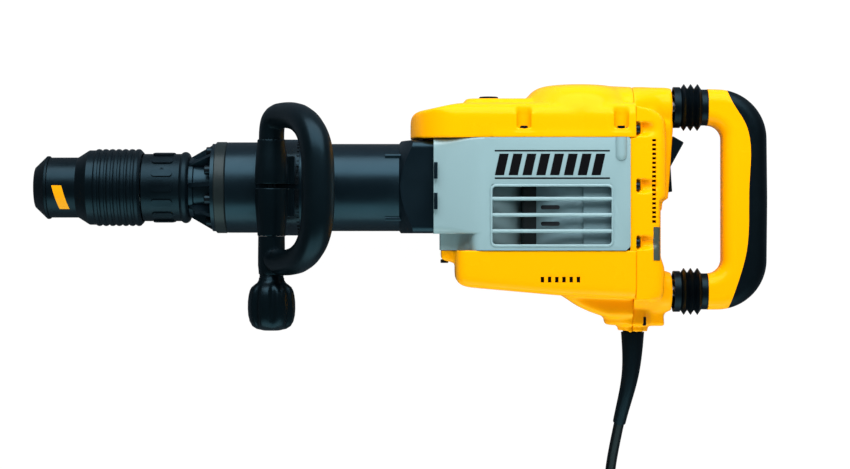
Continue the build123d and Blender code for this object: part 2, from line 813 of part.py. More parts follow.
with BuildPart() as gear_case:
    # the rounded edges of the neck run out into the square case
    for k in range(neck_steps + 1):
        along = k / neck_steps
        eased = along * along * (3 - 2 * along)
        half_width = neck_half_width + (case_half_width - neck_half_width) * eased
        with BuildSketch(Plane.YZ.offset(case_front + (neck_fade - case_front) * along)):
            with Locations(((case_top - neck_half) / 2, 0)):
                RectangleRounded(
                    case_top + neck_half,
                    2 * half_width,
                    neck_round + (case_edge - neck_round) * eased,
                )
    loft()
    # below the neck the case widens from the lug to its full width
    for side in (1, -1):
        with BuildSketch(Plane.ZX.offset(case_bottom)):
            with BuildLine():
                flank = Spline(
                    (0, flank_start),
                    (side * flank_half_width, flank_start + 1),
                    (side * (case_half_width + flank_half_width) / 2, (flank_start + neck_fade) / 2),
                    (side * case_half_width, neck_fade),
                    tangents=((side, 0), (0, 1)),
                )
                Polyline(flank @ 1, (0, neck_fade), (0, flank_start))
            make_face()
        extrude(amount=-case_bottom - neck_half + neck_round)
    with BuildSketch(Plane.XY):
        with BuildLine():
            Polyline(
                (neck_fade, case_bottom),
                (case_rear - case_corner, case_bottom),
                (case_rear, case_bottom + case_corner),
                (case_rear, case_top),
                (neck_fade, case_top),
                close=True,
            )
        make_face()
    extrude(amount=case_half_width, both=True)
    rear_edges = gear_case.edges().filter_by(Axis.Z)
    fillet(rear_edges.filter_by_position(Axis.X, case_rear - case_corner - 1, case_rear + 1), 2)
    # lug below the neck that carries the front screw of the bottom cover
    with BuildSketch(Plane.XY):
        with Locations(((bottom_front + 4 + case_front + 6) / 2, case_bottom / 2 - 16)):
            Rectangle(bottom_front + 4 - case_front - 6, -case_bottom - 32)
    extrude(amount=flank_half_width, both=True)
    # motor room, open to both covers
    with BuildSketch(Plane.ZX.offset(case_bottom - 1)):
        with Locations((0, (neck_fade + 4 + motor_room_right) / 2)):
            Rectangle(2 * room_half_width, motor_room_right - neck_fade - 4)
    extrude(amount=plate_bottom - case_bottom + 1, mode=Mode.SUBTRACT)
    with BuildSketch(Plane.ZX.offset(case_bottom)):
        with Locations((0, crank_x)):
            Circle(drum_r)
    extrude(amount=plate_bottom - case_bottom)
    # seat of the gear plate
    with BuildSketch(Plane.ZX.offset(plate_bottom)):
        with Locations((0, (neck_fade + 4 + motor_room_right) / 2)):
            Rectangle(2 * room_half_width, motor_room_right - neck_fade - 4)
        with Locations((0, crank_x)):
            Circle(drum_r - 2)
    extrude(amount=plate_thickness + 1, mode=Mode.SUBTRACT)
    # crank room, bearing bore and the way of the connecting rod
    with BuildSketch(Plane.ZX.offset(case_bottom - 1)):
        with Locations((0, crank_x)):
            Circle(crank_room_r)
    extrude(amount=bearing_low - case_bottom + 1, mode=Mode.SUBTRACT)
    with BuildSketch(Plane.ZX.offset(bearing_low)):
        with Locations((0, crank_x)):
            Circle(bearing_r + seat_play)
    extrude(amount=case_top - bearing_low, mode=Mode.SUBTRACT)
    with BuildSketch(Plane.YZ.offset(case_front - 1)):
        Circle(cylinder_bore_r + cylinder_wall + seat_play)
    extrude(amount=cylinder_end - case_front + 1, mode=Mode.SUBTRACT)
    with BuildSketch(Plane.YZ.offset(cylinder_end - 1)):
        Circle(cylinder_bore_r)
    extrude(amount=crank_x - cylinder_end, mode=Mode.SUBTRACT)
    # air louvres in both sides
    for side in (1, -1):
        with BuildSketch(Plane.XY.offset(side * (room_half_width - 1))):
            for k in range(louvres):
                with Locations((
                    window_left + window_length / 2,
                    window_top - window_heights / 2 - k * louvre_pitch,
                )):
                    Rectangle(window_length, window_heights)
        extrude(amount=side * (case_wall + 2), mode=Mode.SUBTRACT)
    # holes of the rear screws
    with BuildSketch(Plane.YZ.offset(cover_seam - screw_length)):
        for y in rear_screw_y[1:]:
            with Locations((y, rear_screw_z), (y, -rear_screw_z)):
                Circle(screw_r + seat_play)
    extrude(amount=screw_length, mode=Mode.SUBTRACT)
    # notches for the tabs of the front collar
    for low, high in tab_ranges:
        for side in (1, -1):
            with BuildSketch(Plane.YZ.offset(case_front)):
                with Locations(((low + high) / 2, side * (square_half - tab_depth / 2 + 1))):
                    Rectangle(high - low + 2 * seat_play, tab_depth + 2 + 2 * seat_play)
            extrude(amount=tab_length + seat_play, mode=Mode.SUBTRACT)
gear_case.part.label = "gear_case"
export_step(gear_case.part, "parts/gear_case.step")

with BuildPart() as front_collar:
    with BuildSketch(Plane.YZ.offset(square_front)):
        RectangleRounded(2 * square_half, 2 * square_half, neck_round - 1)
    extrude(amount=case_front - square_front)
    # the front corners are turned to a cone
    with BuildSketch(Plane.XY):
        with BuildLine():
            cone_reach = (case_front - square_front) * tan(radians(90 - square_bevel_angle))
            Polyline(
                (square_front, 0),
                (square_front, square_half - 1.5),
                (case_front, square_half - 1.5 + cone_reach),
                (case_front, 0),
                close=True,
            )
        make_face()
    revolve(axis=Axis.X, mode=Mode.INTERSECT)
    for low, high in tab_ranges:
        for side in (1, -1):
            with BuildSketch(Plane.YZ.offset(case_front)):
                with Locations(((low + high) / 2, side * (square_half - tab_depth / 2))):
                    Rectangle(high - low, tab_depth)
            extrude(amount=tab_length)
    with BuildSketch(Plane.YZ.offset(square_front - 1)):
        Circle(barrel_r + seat_play)
        for turn in (45, 135, 225, 315):
            with Locations(
                (barrel_r * cos(radians(turn + 1)), barrel_r * sin(radians(turn + 1)))
            ):
                Circle(barrel_rod_r + seat_play)
    extrude(amount=case_front - square_front + 1, mode=Mode.SUBTRACT)
front_collar.part.label = "front_collar"
export_step(front_collar.part, "parts/front_collar.step")

armature_seat_r = 13.0
with BuildPart() as gear_plate:
    with BuildSketch(Plane.ZX.offset(plate_bottom)):
        with Locations((0, (neck_fade + 4 + motor_room_right) / 2)):
            Rectangle(
                2 * (room_half_width - plate_play),
                motor_room_right - neck_fade - 4 - 2 * plate_play,
            )
        with Locations((0, crank_x)):
            Circle(drum_r - 2 - plate_play)
        with Locations((0, crank_x)):
            Circle(bearing_r + seat_play, mode=Mode.SUBTRACT)
        with Locations((0, idler_x)):
            Circle(shaft_r - 1 + running, mode=Mode.SUBTRACT)
        with Locations((0, motor_x)):
            Circle(armature_seat_r + seat_play, mode=Mode.SUBTRACT)
    extrude(amount=plate_thickness)
gear_plate.part.label = "gear_plate"
export_step(gear_plate.part, "parts/gear_plate.step")

# ======================================= Motor ================================================

core_bottom = core_top - core_length
with BuildPart() as motor_shroud:
    with BuildSketch(Plane.ZX.offset(core_bottom - 14)):
        with Locations((0, motor_x)):
            Circle(shroud_r)
            Circle(shroud_r - shroud_wall, mode=Mode.SUBTRACT)
    extrude(amount=core_length + 20)
    # air slots on both sides
    for y in (-17.5, -31.5):
        with BuildSketch(Plane.XY):
            with Locations((motor_x - 14, y)):
                SlotOverall(17, 3.6)
        extrude(amount=shroud_r + 1, both=True, mode=Mode.SUBTRACT)
motor_shroud.part.label = "motor_shroud"
export_step(motor_shroud.part, "parts/motor_shroud.step")

with BuildPart() as stator:
    with BuildSketch(Plane.ZX.offset(core_bottom)):
        with Locations((0, motor_x)):
            Circle(stator_r)
            Circle(rotor_r + air_gap, mode=Mode.SUBTRACT)
            # room of the field coils either side of the two poles
            for turn in (45, 135, 225, 315):
                with PolarLocations(stator_r - 9, 1, start_angle=turn):
                    Circle(4.5, mode=Mode.SUBTRACT)
    extrude(amount=core_length)
stator.part.label = "stator"
export_step(stator.part, "parts/stator.step")

with BuildPart() as field_coils:
    for start in (core_bottom - 6, core_top):
        with BuildSketch(Plane.ZX.offset(start)):
            with Locations((0, motor_x)):
                Circle(stator_r - 3)
                Circle(rotor_r + 2, mode=Mode.SUBTRACT)
            with Locations((0, motor_x)):
                Rectangle(8, 2 * stator_r, mode=Mode.SUBTRACT)
        extrude(amount=6)
field_coils.part.label = "field_coils"
export_step(field_coils.part, "parts/field_coils.step")

slots = 12
with BuildPart() as armature:
    with BuildSketch(Plane.ZX.offset(core_bottom)):
        with Locations((0, motor_x)):
            Circle(rotor_r)
            Circle(shaft_r + seat_play, mode=Mode.SUBTRACT)
            with PolarLocations(rotor_r - 3, slots):
                SlotOverall(7, 2.4, mode=Mode.SUBTRACT)
    extrude(amount=core_length)
    # wound ends
    for start in (core_bottom - 5, core_top):
        with BuildSketch(Plane.ZX.offset(start)):
            with Locations((0, motor_x)):
                Circle(rotor_r - 4)
                Circle(shaft_r + seat_play, mode=Mode.SUBTRACT)
        extrude(amount=5)
armature.part.label = "armature"
export_step(armature.part, "parts/armature.step")

commutator_top = core_bottom - 14
commutator_bottom = commutator_top - commutator_length
lower_bearing_top = commutator_bottom - 3
lower_bearing_width = 8.0
with BuildPart() as armature_shaft:
    with BuildSketch(Plane.ZX.offset(lower_bearing_top - lower_bearing_width)):
        with Locations((0, motor_x)):
            Circle(shaft_r)
    extrude(amount=fast_gear_start - lower_bearing_top + lower_bearing_width)
    # the pinion is cut on the end of the shaft
    with BuildSketch(Plane.ZX.offset(fast_gear_start)):
        with Locations((0, motor_x)):
            gear_outline(module_fast, pinion_teeth, 270 + 180 / pinion_teeth)
    extrude(amount=gear_face)
armature_shaft.part.label = "armature_shaft"
export_step(armature_shaft.part, "parts/armature_shaft.step")

with BuildPart() as commutator:
    with BuildSketch(Plane.ZX.offset(commutator_bottom)):
        with Locations((0, motor_x)):
            Circle(commutator_r)
            Circle(shaft_r + seat_play, mode=Mode.SUBTRACT)
            with PolarLocations(commutator_r, 2 * slots):
                Rectangle(3, 0.5, mode=Mode.SUBTRACT)
    extrude(amount=commutator_length)
commutator.part.label = "commutator"
export_step(commutator.part, "parts/commutator.step")

with BuildPart() as motor_fan:
    fan_start = core_top + 8
    with BuildSketch(Plane.ZX.offset(fan_start)):
        with Locations((0, motor_x)):
            Circle(fan_r)
            Circle(shaft_r + seat_play, mode=Mode.SUBTRACT)
    extrude(amount=2)
    with BuildSketch(Plane.ZX.offset(fan_start + 2)):
        with Locations((0, motor_x)):
            with PolarLocations(fan_r / 2 + 5, 9):
                Rectangle(fan_r - 12, 1.6, rotation=25)
    extrude(amount=7)
    with BuildSketch(Plane.ZX.offset(fan_start + 2)):
        with Locations((0, motor_x)):
            Circle(shaft_r + 4)
            Circle(shaft_r + seat_play, mode=Mode.SUBTRACT)
    extrude(amount=7)
motor_fan.part.label = "motor_fan"
export_step(motor_fan.part, "parts/motor_fan.step")

with BuildPart() as bearings:
    for axis_x, start, width, outer_r, inner_r, rim in (
        (crank_x, bearing_low, bearing_width, bearing_r, journal_r, 4),
        (crank_x, bearing_high, bearing_width, bearing_r, journal_r, 4),
        (motor_x, plate_bottom, plate_thickness, armature_seat_r, shaft_r, 2.2),
        (motor_x, lower_bearing_top - lower_bearing_width, lower_bearing_width,
         armature_seat_r, shaft_r, 2.2),
    ):
        with BuildSketch(Plane.ZX.offset(start)):
            with Locations((0, axis_x)):
                Circle(outer_r)
                Circle(inner_r + seat_play, mode=Mode.SUBTRACT)
        extrude(amount=width)
        # groove between the outer and the inner race
        with BuildSketch(Plane.ZX.offset(start)):
            with Locations((0, axis_x)):
                Circle(outer_r - rim)
                Circle(inner_r + rim, mode=Mode.SUBTRACT)
        extrude(amount=1, mode=Mode.SUBTRACT)
bearings.part.label = "bearings"
export_step(bearings.part, "parts/bearings.step")

brush_y = (commutator_top + commutator_bottom) / 2
brush_width = 8.0
brush_length = 18.0
holder_wall = 1.8
with BuildPart() as carbon_brushes:
    with BuildSketch(Plane.XY.offset(commutator_r + seat_play)):
        with Locations((motor_x, brush_y)):
            Rectangle(brush_width, brush_width * 1.5)
    extrude(amount=brush_length)
    mirror(about=Plane.XY)
carbon_brushes.part.label = "carbon_brushes"
export_step(carbon_brushes.part, "parts/carbon_brushes.step")

with BuildPart() as brush_holders:
    with BuildSketch(Plane.XY.offset(commutator_r + 3)):
        with Locations((motor_x, brush_y)):
            Rectangle(brush_width + 2 * holder_wall, brush_width * 1.5 + 2 * holder_wall)
    extrude(amount=cover_half_width - cover_wall - commutator_r - 3)
    with BuildSketch(Plane.XY.offset(commutator_r + 2)):
        with Locations((motor_x, brush_y)):
            Rectangle(brush_width + 2 * seat_play, brush_width * 1.5 + 2 * seat_play)
    extrude(amount=brush_length + 8, mode=Mode.SUBTRACT)
    mirror(about=Plane.XY)
brush_holders.part.label = "brush_holders"
export_step(brush_holders.part, "parts/brush_holders.step")

# ======================================= Yellow covers ========================================

screw_boss_r = screw_head_r + 2.5
inner_half_width = cover_half_width - cover_wall
with BuildPart() as top_room:
    with BuildSketch(Plane.ZX.offset(case_top - 1)):
        with BuildLine():
            inner_front = FilletPolyline(
                (-inner_half_width, neck_fade),
                (-inner_half_width, cover_front + 3 * cover_wall),
                (inner_half_width, cover_front + 3 * cover_wall),
                (inner_half_width, neck_fade),
                radius=cover_corner_r,
            )
            Polyline(
                inner_front @ 1,
                (inner_half_width, cover_seam - cover_wall),
                (-inner_half_width, cover_seam - cover_wall),
                inner_front @ 0,
            )
        make_face()
    extrude(amount=cover_shoulder - case_top - cover_round - cover_wall)
    with BuildSketch(Plane.ZX.offset(case_top + 10)):
        with Locations((0, (dial_x - 22 + cover_seam - cover_wall) / 2)):
            Rectangle(2 * inner_half_width - cover_round, cover_seam - cover_wall - dial_x + 22)
    extrude(amount=cover_shoulder - cover_wall - 1 - case_top - 10)
    with BuildSketch(Plane.ZX.offset(cover_shoulder - cover_wall - 2)):
        with Locations((0, dome_x)):
            Circle(dome_r - cover_wall - 12)
    extrude(amount=dome_top - cover_shoulder - 3)
    # screw towers and rear screw bosses stay solid
    for x in tower_x:
        for side in (1, -1):
            with BuildSketch(Plane.ZX.offset(case_top - 2)):
                with Locations((side * (cover_half_width - 3), x)):
                    Circle(tower_r + 3)
            extrude(amount=60, mode=Mode.SUBTRACT)
    for side in (1, -1):
        with BuildSketch(Plane.YZ.offset(cover_seam - 14)):
            with Locations((rear_screw_y[0], side * rear_screw_z)):
                Circle(screw_boss_r)
        extrude(amount=15, mode=Mode.SUBTRACT)

with BuildPart() as top_cover:
    with BuildSketch(Plane.XY):
        with BuildLine():
            front_edge = Line((cover_front, case_top), (cover_front, case_top + 14))
            brow = Spline(
                front_edge @ 1,
                (cover_front + 14.8, cover_shoulder - 5.6),
                (cover_front + 46, cover_shoulder),
                tangents=((0, 1), (1, 0.06)),
            )
            Polyline(
                brow @ 1, (cover_seam, cover_shoulder), (cover_seam, case_top), front_edge @ 0
            )
        make_face()
    extrude(amount=cover_half_width, both=True)
    with BuildSketch(Plane.ZX.offset(case_top - 1)):
        with BuildLine():
            outer_front = FilletPolyline(
                (-cover_half_width, neck_fade),
                (-cover_half_width, cover_front),
                (cover_half_width, cover_front),
                (cover_half_width, neck_fade),
                radius=cover_corner_r,
            )
            Polyline(
                outer_front @ 1, (cover_half_width, cover_seam), (-cover_half_width, cover_seam),
                outer_front @ 0,
            )
        make_face()
    extrude(amount=60, mode=Mode.INTERSECT)
    with BuildSketch(Plane.YZ.offset(cover_front - 1)) as cover_section:
        with Locations(((cover_shoulder - cover_round) / 2, 0)):
            Rectangle(cover_shoulder + cover_round, 2 * cover_half_width)
        fillet(cover_section.vertices().group_by(Axis.X)[-1], cover_round)
    extrude(amount=cover_seam - cover_front + 1, mode=Mode.INTERSECT)
    # raised tier round the speed dial
    with BuildSketch(Plane.ZX.offset(cover_shoulder - 5)):
        with Locations((0, dial_tier_start + dial_tier_length / 2)):
            RectangleRounded(2 * dial_tier_half, dial_tier_length, 12)
    extrude(amount=dial_tier_top - cover_shoulder + 5, taper=24)
    # dome over the motor gears
    with BuildSketch(Plane.XY):
        with BuildLine():
            crown = Spline(
                (dome_x, dome_top),
                (dome_x + dome_r * 0.4, dome_top - 0.9),
                (dome_x + dome_r * 0.76, dome_top - 5.6),
                (dome_x + dome_r * 0.93, dome_top - 16),
                (dome_x + dome_r, dome_top - 32),
                tangents=((1, 0), (0, -1)),
            )
            Polyline(
                crown @ 1, (dome_x + dome_r, case_top + 8), (dome_x, case_top + 8), crown @ 0
            )
        make_face()
    revolve(axis=Axis((dome_x, 0, 0), (0, 1, 0)))
    # the dome runs back into the upper arm of the rear housing
    with BuildSketch(Plane.YZ.offset(dome_x)):
        with Locations((dome_top - dome_tail_r, 0)):
            Ellipse(dome_tail_r, upper_arm_depth)
    with BuildSketch(Plane.YZ.offset(cover_seam)):
        with Locations((upper_arm_y, 0)):
            Ellipse(arm_r, upper_arm_depth)
    loft()
    with BuildSketch(Plane.XY):
        with Locations((cover_seam + dome_r, case_top + 40)):
            Rectangle(2 * dome_r, 100)
    extrude(amount=cover_half_width + 10, both=True, mode=Mode.SUBTRACT)
    # lip along the joint with the gear case
    with BuildSketch(Plane.XY):
        with Locations((lip_start + lip_length / 2, case_top + lip_height / 2)):
            Rectangle(lip_length, lip_height)
    extrude(amount=cover_half_width + lip_proud, both=True)
    lip_edges = top_cover.edges().filter_by(
        lambda edge: abs(abs(edge.center().Z) - cover_half_width - lip_proud) < 0.1
        and edge.center().Y > case_top + 1
    )
    chamfer(lip_edges, lip_proud - 0.1)
    add(top_room.part, mode=Mode.SUBTRACT)
    # half-open channels for the cover screws
    with BuildSketch(Plane.ZX.offset(tower_floor)):
        for x in tower_x:
            with Locations((cover_half_width - 1, x), (1 - cover_half_width, x)):
                Circle(tower_r)
    extrude(amount=60, mode=Mode.SUBTRACT)
    # holes of the cover screws and of the rear screws
    with BuildSketch(Plane.ZX.offset(case_top - 1)):
        for x in tower_x:
            with Locations((tower_screw_z, x), (-tower_screw_z, x)):
                Circle(screw_r + seat_play)
    extrude(amount=20, mode=Mode.SUBTRACT)
    with BuildSketch(Plane.YZ.offset(cover_seam - screw_length)):
        with Locations((rear_screw_y[0], rear_screw_z), (rear_screw_y[0], -rear_screw_z)):
            Circle(screw_r + seat_play)
    extrude(amount=20, mode=Mode.SUBTRACT)
    # well of the speed dial
    with BuildSketch(Plane.ZX.offset(dial_tier_top - dial_sink)):
        with Locations((0, dial_x)):
            Circle(dial_r + apart)
    extrude(amount=20, mode=Mode.SUBTRACT)
    with BuildSketch(Plane.ZX.offset(case_top)):
        with Locations((0, dial_x)):
            Circle(dial_stem_r + running)
    extrude(amount=60, mode=Mode.SUBTRACT)
top_cover.part.label = "top_cover"
export_step(top_cover.part, "parts/top_cover.step")

with BuildPart() as speed_dial:
    with BuildSketch(Plane.ZX.offset(dial_tier_top - dial_sink + apart)):
        with Locations((0, dial_x)):
            Circle(dial_r)
            with PolarLocations(dial_r, 24):
                Circle(0.5, mode=Mode.SUBTRACT)
    extrude(amount=dial_sink + dial_proud - apart)
    # finger rib across the dial
    with BuildSketch(Plane.ZX.offset(dial_tier_top + dial_proud)):
        with Locations((0, dial_x)):
            SlotOverall(2 * dial_r - 3, 3)
    extrude(amount=-1, mode=Mode.SUBTRACT)
    with BuildSketch(Plane.ZX.offset(dial_tier_top - dial_sink + apart)):
        with Locations((0, dial_x)):
            Circle(dial_stem_r)
    extrude(amount=-dial_stem_length)
speed_dial.part.label = "speed_dial"
export_step(speed_dial.part, "parts/speed_dial.step")

with BuildPart() as cover_screws:
    for x in tower_x:
        for side in (1, -1):
            with BuildSketch(Plane.ZX.offset(tower_floor)):
                with Locations((side * tower_screw_z, x)):
                    Circle(screw_head_r - 0.4)
            extrude(amount=2.2)
            with BuildSketch(Plane.ZX.offset(case_top)):
                with Locations((side * tower_screw_z, x)):
                    Circle(screw_r)
            extrude(amount=tower_floor - case_top)
cover_screws.part.label = "cover_screws"
export_step(cover_screws.part, "parts/cover_screws.step")

bottom_floor = -84.5  # inside of the lowest flat of the bottom cover
with BuildPart() as bottom_room:
    with BuildSketch(Plane.XY):
        with BuildLine():
            Polyline(
                (bottom_front + cover_wall, case_bottom + 1),
                (bottom_front + cover_wall + 1, -76),
                (bottom_front + cover_wall + 6, -80),
                (450, bottom_floor - 4),
                (cover_seam - cover_wall, bottom_floor - 4),
                (cover_seam - cover_wall, case_bottom + 1),
                close=True,
            )
        make_face()
    extrude(amount=inner_half_width, both=True)
    fillet(bottom_room.edges().filter_by(Axis.Y), 6)
    # seat of the lower motor bearing
    with BuildSketch(Plane.ZX.offset(bottom_floor - 10)):
        with Locations((0, motor_x)):
            Circle(armature_seat_r + 4)
    extrude(amount=lower_bearing_top - bottom_floor + 10, mode=Mode.SUBTRACT)

with BuildPart() as bottom_cover:
    with BuildSketch(Plane.XY):
        with BuildLine():
            front_low = Line((bottom_front, case_bottom), (bottom_front, -76))
            toe = Spline(
                front_low @ 1, (bottom_front + 4, -83), (bottom_front + 12, -85.5),
                tangents=((0, -1), (1, -0.15)),
            )
            Polyline(
                toe @ 1, (450, -92.3), (cover_seam, -95), (cover_seam, case_bottom),
                front_low @ 0,
            )
        make_face()
    extrude(amount=cover_half_width, both=True)
    low_edges = bottom_cover.edges().filter_by(lambda edge: edge.center().Y < case_bottom - 5)
    low_edges = low_edges.filter_by(
        lambda edge: abs(edge.center().Z) > 3 and edge.center().X < cover_seam - 1
    )
    fillet(low_edges, bottom_round)
    # front tongue under the lug of the gear case
    with BuildSketch(Plane.XY):
        with BuildLine():
            Polyline(
                (case_front + 6.3, case_bottom),
                (case_front + 6.3, case_bottom - 8),
                (bottom_front + 3, case_bottom - 12),
                (bottom_front + 3, case_bottom),
                close=True,
            )
        make_face()
    extrude(amount=26, both=True)
    # keel below the motor
    with BuildSketch(Plane.XY):
        with BuildLine():
            keel = Spline(
                (446, -90), (468, -102.5), (492, -112),
                tangents=((1, -0.3), (1, -0.35)),
            )
            Polyline(keel @ 1, (cover_seam, -112), (cover_seam, -90), keel @ 0)
        make_face()
    extrude(amount=keel_half_width, both=True)
    keel_edges = bottom_cover.edges().filter_by(
        lambda edge: abs(abs(edge.center().Z) - keel_half_width) < 0.5
        and edge.center().Y < -95
        and edge.center().X < cover_seam - 1
    )
    fillet(keel_edges, 6)
    # half of the boss that holds the cord guard
    with BuildSketch(Plane.ZX.offset(-90)):
        with Locations((0, boss_x)):
            Circle(boss_r)
    extrude(amount=boss_step + 90)
    with BuildSketch(Plane.ZX.offset(boss_step)):
        with Locations((0, guard_x)):
            Circle(boss_mouth_r)
    extrude(amount=boss_bottom - boss_step)
    with BuildSketch(Plane.ZX):
        with Locations((0, cover_seam + 50)):
            Rectangle(200, 100)
    extrude(amount=200, both=True, mode=Mode.SUBTRACT)
    add(bottom_room.part, mode=Mode.SUBTRACT)
    with BuildSketch(Plane.ZX.offset(lower_bearing_top - lower_bearing_width)):
        with Locations((0, motor_x)):
            Circle(armature_seat_r + seat_play)
    extrude(amount=lower_bearing_width + 1, mode=Mode.SUBTRACT)
    # small air slots along both sides
    for k in range(side_slots):
        with BuildSketch(Plane.XY):
            with Locations((side_slot_x + k * side_slot_pitch, side_slot_y)):
                Rectangle(2.6, 3.6)
        extrude(amount=cover_half_width + 1, both=True, mode=Mode.SUBTRACT)
    # way of the cord guard
    with BuildSketch(Plane.ZX.offset(boss_bottom - 1)):
        with Locations((0, guard_x)):
            Circle(guard_collar_r + seat_play)
    extrude(amount=guard_root - boss_bottom + 1, mode=Mode.SUBTRACT)
bottom_cover.part.label = "bottom_cover"
export_step(bottom_cover.part, "parts/bottom_cover.step")

# ======================================= Rear housing =========================================

rear_inner_x = rear_face - cover_wall
guide_wall_start = cover_seam + 1
guide_wall_end = guide_wall_start + 17
with BuildPart() as rear_room:
    with BuildSketch(Plane.XY):
        with BuildLine():
            Polyline(
                (case_rear - 1, case_bottom + 5),
                (cover_seam - 1, case_bottom + 5),
                (cover_seam - 1, -92),
                (rear_inner_x, -92),
                (rear_inner_x, 46),
                (case_rear - 1, 46),
                close=True,
            )
        make_face()
    extrude(amount=rear_half_width - cover_wall, both=True)
    fillet(rear_room.edges().filter_by(Axis.Y).filter_by_position(
        Axis.X, rear_inner_x - 1, rear_inner_x + 1), 6)
    # screw bosses and the walls that guide the handle pins stay solid
    with BuildSketch(Plane.YZ.offset(case_rear - 2)):
        for y in rear_screw_y:
            with Locations((y, rear_screw_z), (y, -rear_screw_z)):
                Circle(screw_boss_r + 2)
        with Locations((lower_arm_y, 0)):
            Circle(guide_pin_r + 5)
    extrude(amount=50, mode=Mode.SUBTRACT)

with BuildPart() as rear_housing:
    with BuildSketch(Plane.XY):
        with BuildLine():
            Polyline(
                (case_rear, case_bottom),
                (cover_seam, case_bottom),
                (cover_seam, -96),
                (rear_face - 2, -96),
                (rear_face, -60),
                (rear_face, 56),
                (rear_face - 8, 64),
                (cover_seam, 68),
                (cover_seam, case_top),
                (case_rear, case_top),
                close=True,
            )
        make_face()
    extrude(amount=rear_half_width, both=True)
    back_edges = rear_housing.edges().filter_by(
        lambda edge: edge.center().X > rear_face - 3 and abs(edge.center().Z) > rear_half_width - 1
    )
    fillet(back_edges, 8)
    # both arms grow out of the housing towards the bellows
    for y, depth in ((upper_arm_y, upper_arm_depth), (lower_arm_y, lower_arm_depth)):
        with BuildSketch(Plane.YZ.offset(cover_seam)):
            with Locations((y, 0)):
                Ellipse(arm_r, depth)
        with BuildSketch(Plane.YZ.offset(rear_face)):
            with Locations((y, 0)):
                Circle(arm_r)
        loft()
        with BuildSketch(Plane.YZ.offset(rear_face)):
            with Locations((y, 0)):
                Circle(arm_r)
        extrude(amount=arm_end - rear_face)
    # bezel of the switch
    with BuildSketch(Plane.XY):
        with BuildLine():
            Polyline(
                (rear_face - 2, bezel_top + 6),
                (bezel_face, bezel_top + 6),
                (bezel_low_face, bezel_bottom + 3),
                (bezel_low_face - 2.4, bezel_bottom),
                (rear_face - 2, bezel_bottom),
                close=True,
            )
        make_face()
    extrude(amount=bezel_half_width, both=True)
    bezel_edges = rear_housing.edges().filter_by(
        lambda edge: abs(abs(edge.center().Z) - bezel_half_width) < 0.1
        and edge.center().X > (bezel_face + bezel_low_face) / 2 - 0.5
    )
    fillet(bezel_edges, 4)
    # rear half of the boss that holds the cord guard, and its screw lug
    with BuildSketch(Plane.ZX.offset(-90)):
        with Locations((0, boss_x)):
            Circle(boss_r)
        with Locations((0, cover_seam - 50)):
            Rectangle(100, 100, mode=Mode.SUBTRACT)
    extrude(amount=boss_step + 90)
    with BuildSketch(Plane.ZX.offset(boss_step)):
        with Locations((0, guard_x)):
            Circle(boss_mouth_r)
        with Locations((0, cover_seam - 50)):
            Rectangle(100, 100, mode=Mode.SUBTRACT)
    extrude(amount=boss_bottom - boss_step)
    with BuildSketch(Plane.YZ.offset(cover_seam + 9)):
        with Locations((boss_step + 3.6, 0)):
            RectangleRounded(9, 2 * lug_half_width, 3)
    extrude(amount=lug_end - cover_seam - 9)
    with BuildSketch(Plane.YZ.offset(cover_seam + 9)):
        with Locations((boss_step + 10, 0)):
            Rectangle(14, 2 * lug_half_width)
    extrude(amount=lug_end - cover_seam - 9 - 1)
    add(rear_room.part, mode=Mode.SUBTRACT)
    # bores of the handle guides
    for y in (upper_arm_y, lower_arm_y):
        with BuildSketch(Plane.YZ.offset(cover_seam + 0.5)):
            with Locations((y, 0)):
                Circle(guide_pin_r + running)
        extrude(amount=guide_wall_end - cover_seam, mode=Mode.SUBTRACT)
        with BuildSketch(Plane.YZ.offset(guide_wall_end)):
            with Locations((y, 0)):
                Circle(arm_bore_r)
        extrude(amount=arm_end - guide_wall_end + 1, mode=Mode.SUBTRACT)
    # channels beside the rear screws, shallower towards their rear end
    for y in rear_screw_y:
        for side in (1, -1):
            with BuildSketch(Plane.YZ.offset(cover_seam)):
                with Locations((y, side * (rear_half_width - 1))):
                    Circle(channel_r)
            extrude(amount=channel_flat, mode=Mode.SUBTRACT)
            channel_slope = Plane(
                origin=(cover_seam + channel_flat, y, side * (rear_half_width - 1)),
                x_dir=(0, 1, 0),
                z_dir=(channel_length - channel_flat, 0, side * (channel_r + 1)),
            )
            with BuildSketch(channel_slope):
                Circle(channel_r)
            extrude(amount=channel_length, mode=Mode.SUBTRACT)
            with BuildSketch(Plane.YZ.offset(case_rear - 1)):
                with Locations((y, side * rear_screw_z)):
                    Circle(screw_r + seat_play)
            extrude(amount=cover_seam - case_rear + 2, mode=Mode.SUBTRACT)
    # air slots
    for k in range(vents):
        with BuildSketch(Plane.XY):
            with Locations((vent_x, vent_top - k * vent_pitch)):
                Rectangle(3.2, 2.4)
        extrude(amount=rear_half_width + 1, both=True, mode=Mode.SUBTRACT)
    # pocket of the rocker and its pin
    with BuildSketch(Plane.XY):
        with Locations(((rocker_floor + bezel_face + 5) / 2, (rocker_top + rocker_low) / 2)):
            Rectangle(bezel_face + 5 - rocker_floor, rocker_top - rocker_low)
    extrude(amount=rocker_half_width + apart, both=True, mode=Mode.SUBTRACT)
    with BuildSketch(Plane.XY):
        with Locations(rocker_pivot):
            Circle(rocker_pin_r + seat_play)
    extrude(amount=rocker_pin_length / 2 + seat_play, both=True, mode=Mode.SUBTRACT)
    # way of the cord guard
    with BuildSketch(Plane.ZX.offset(boss_bottom - 1)):
        with Locations((0, guard_x)):
            Circle(guard_collar_r + seat_play)
    extrude(amount=guard_root - boss_bottom + 1, mode=Mode.SUBTRACT)
rear_housing.part.label = "rear_housing"
export_step(rear_housing.part, "parts/rear_housing.step")

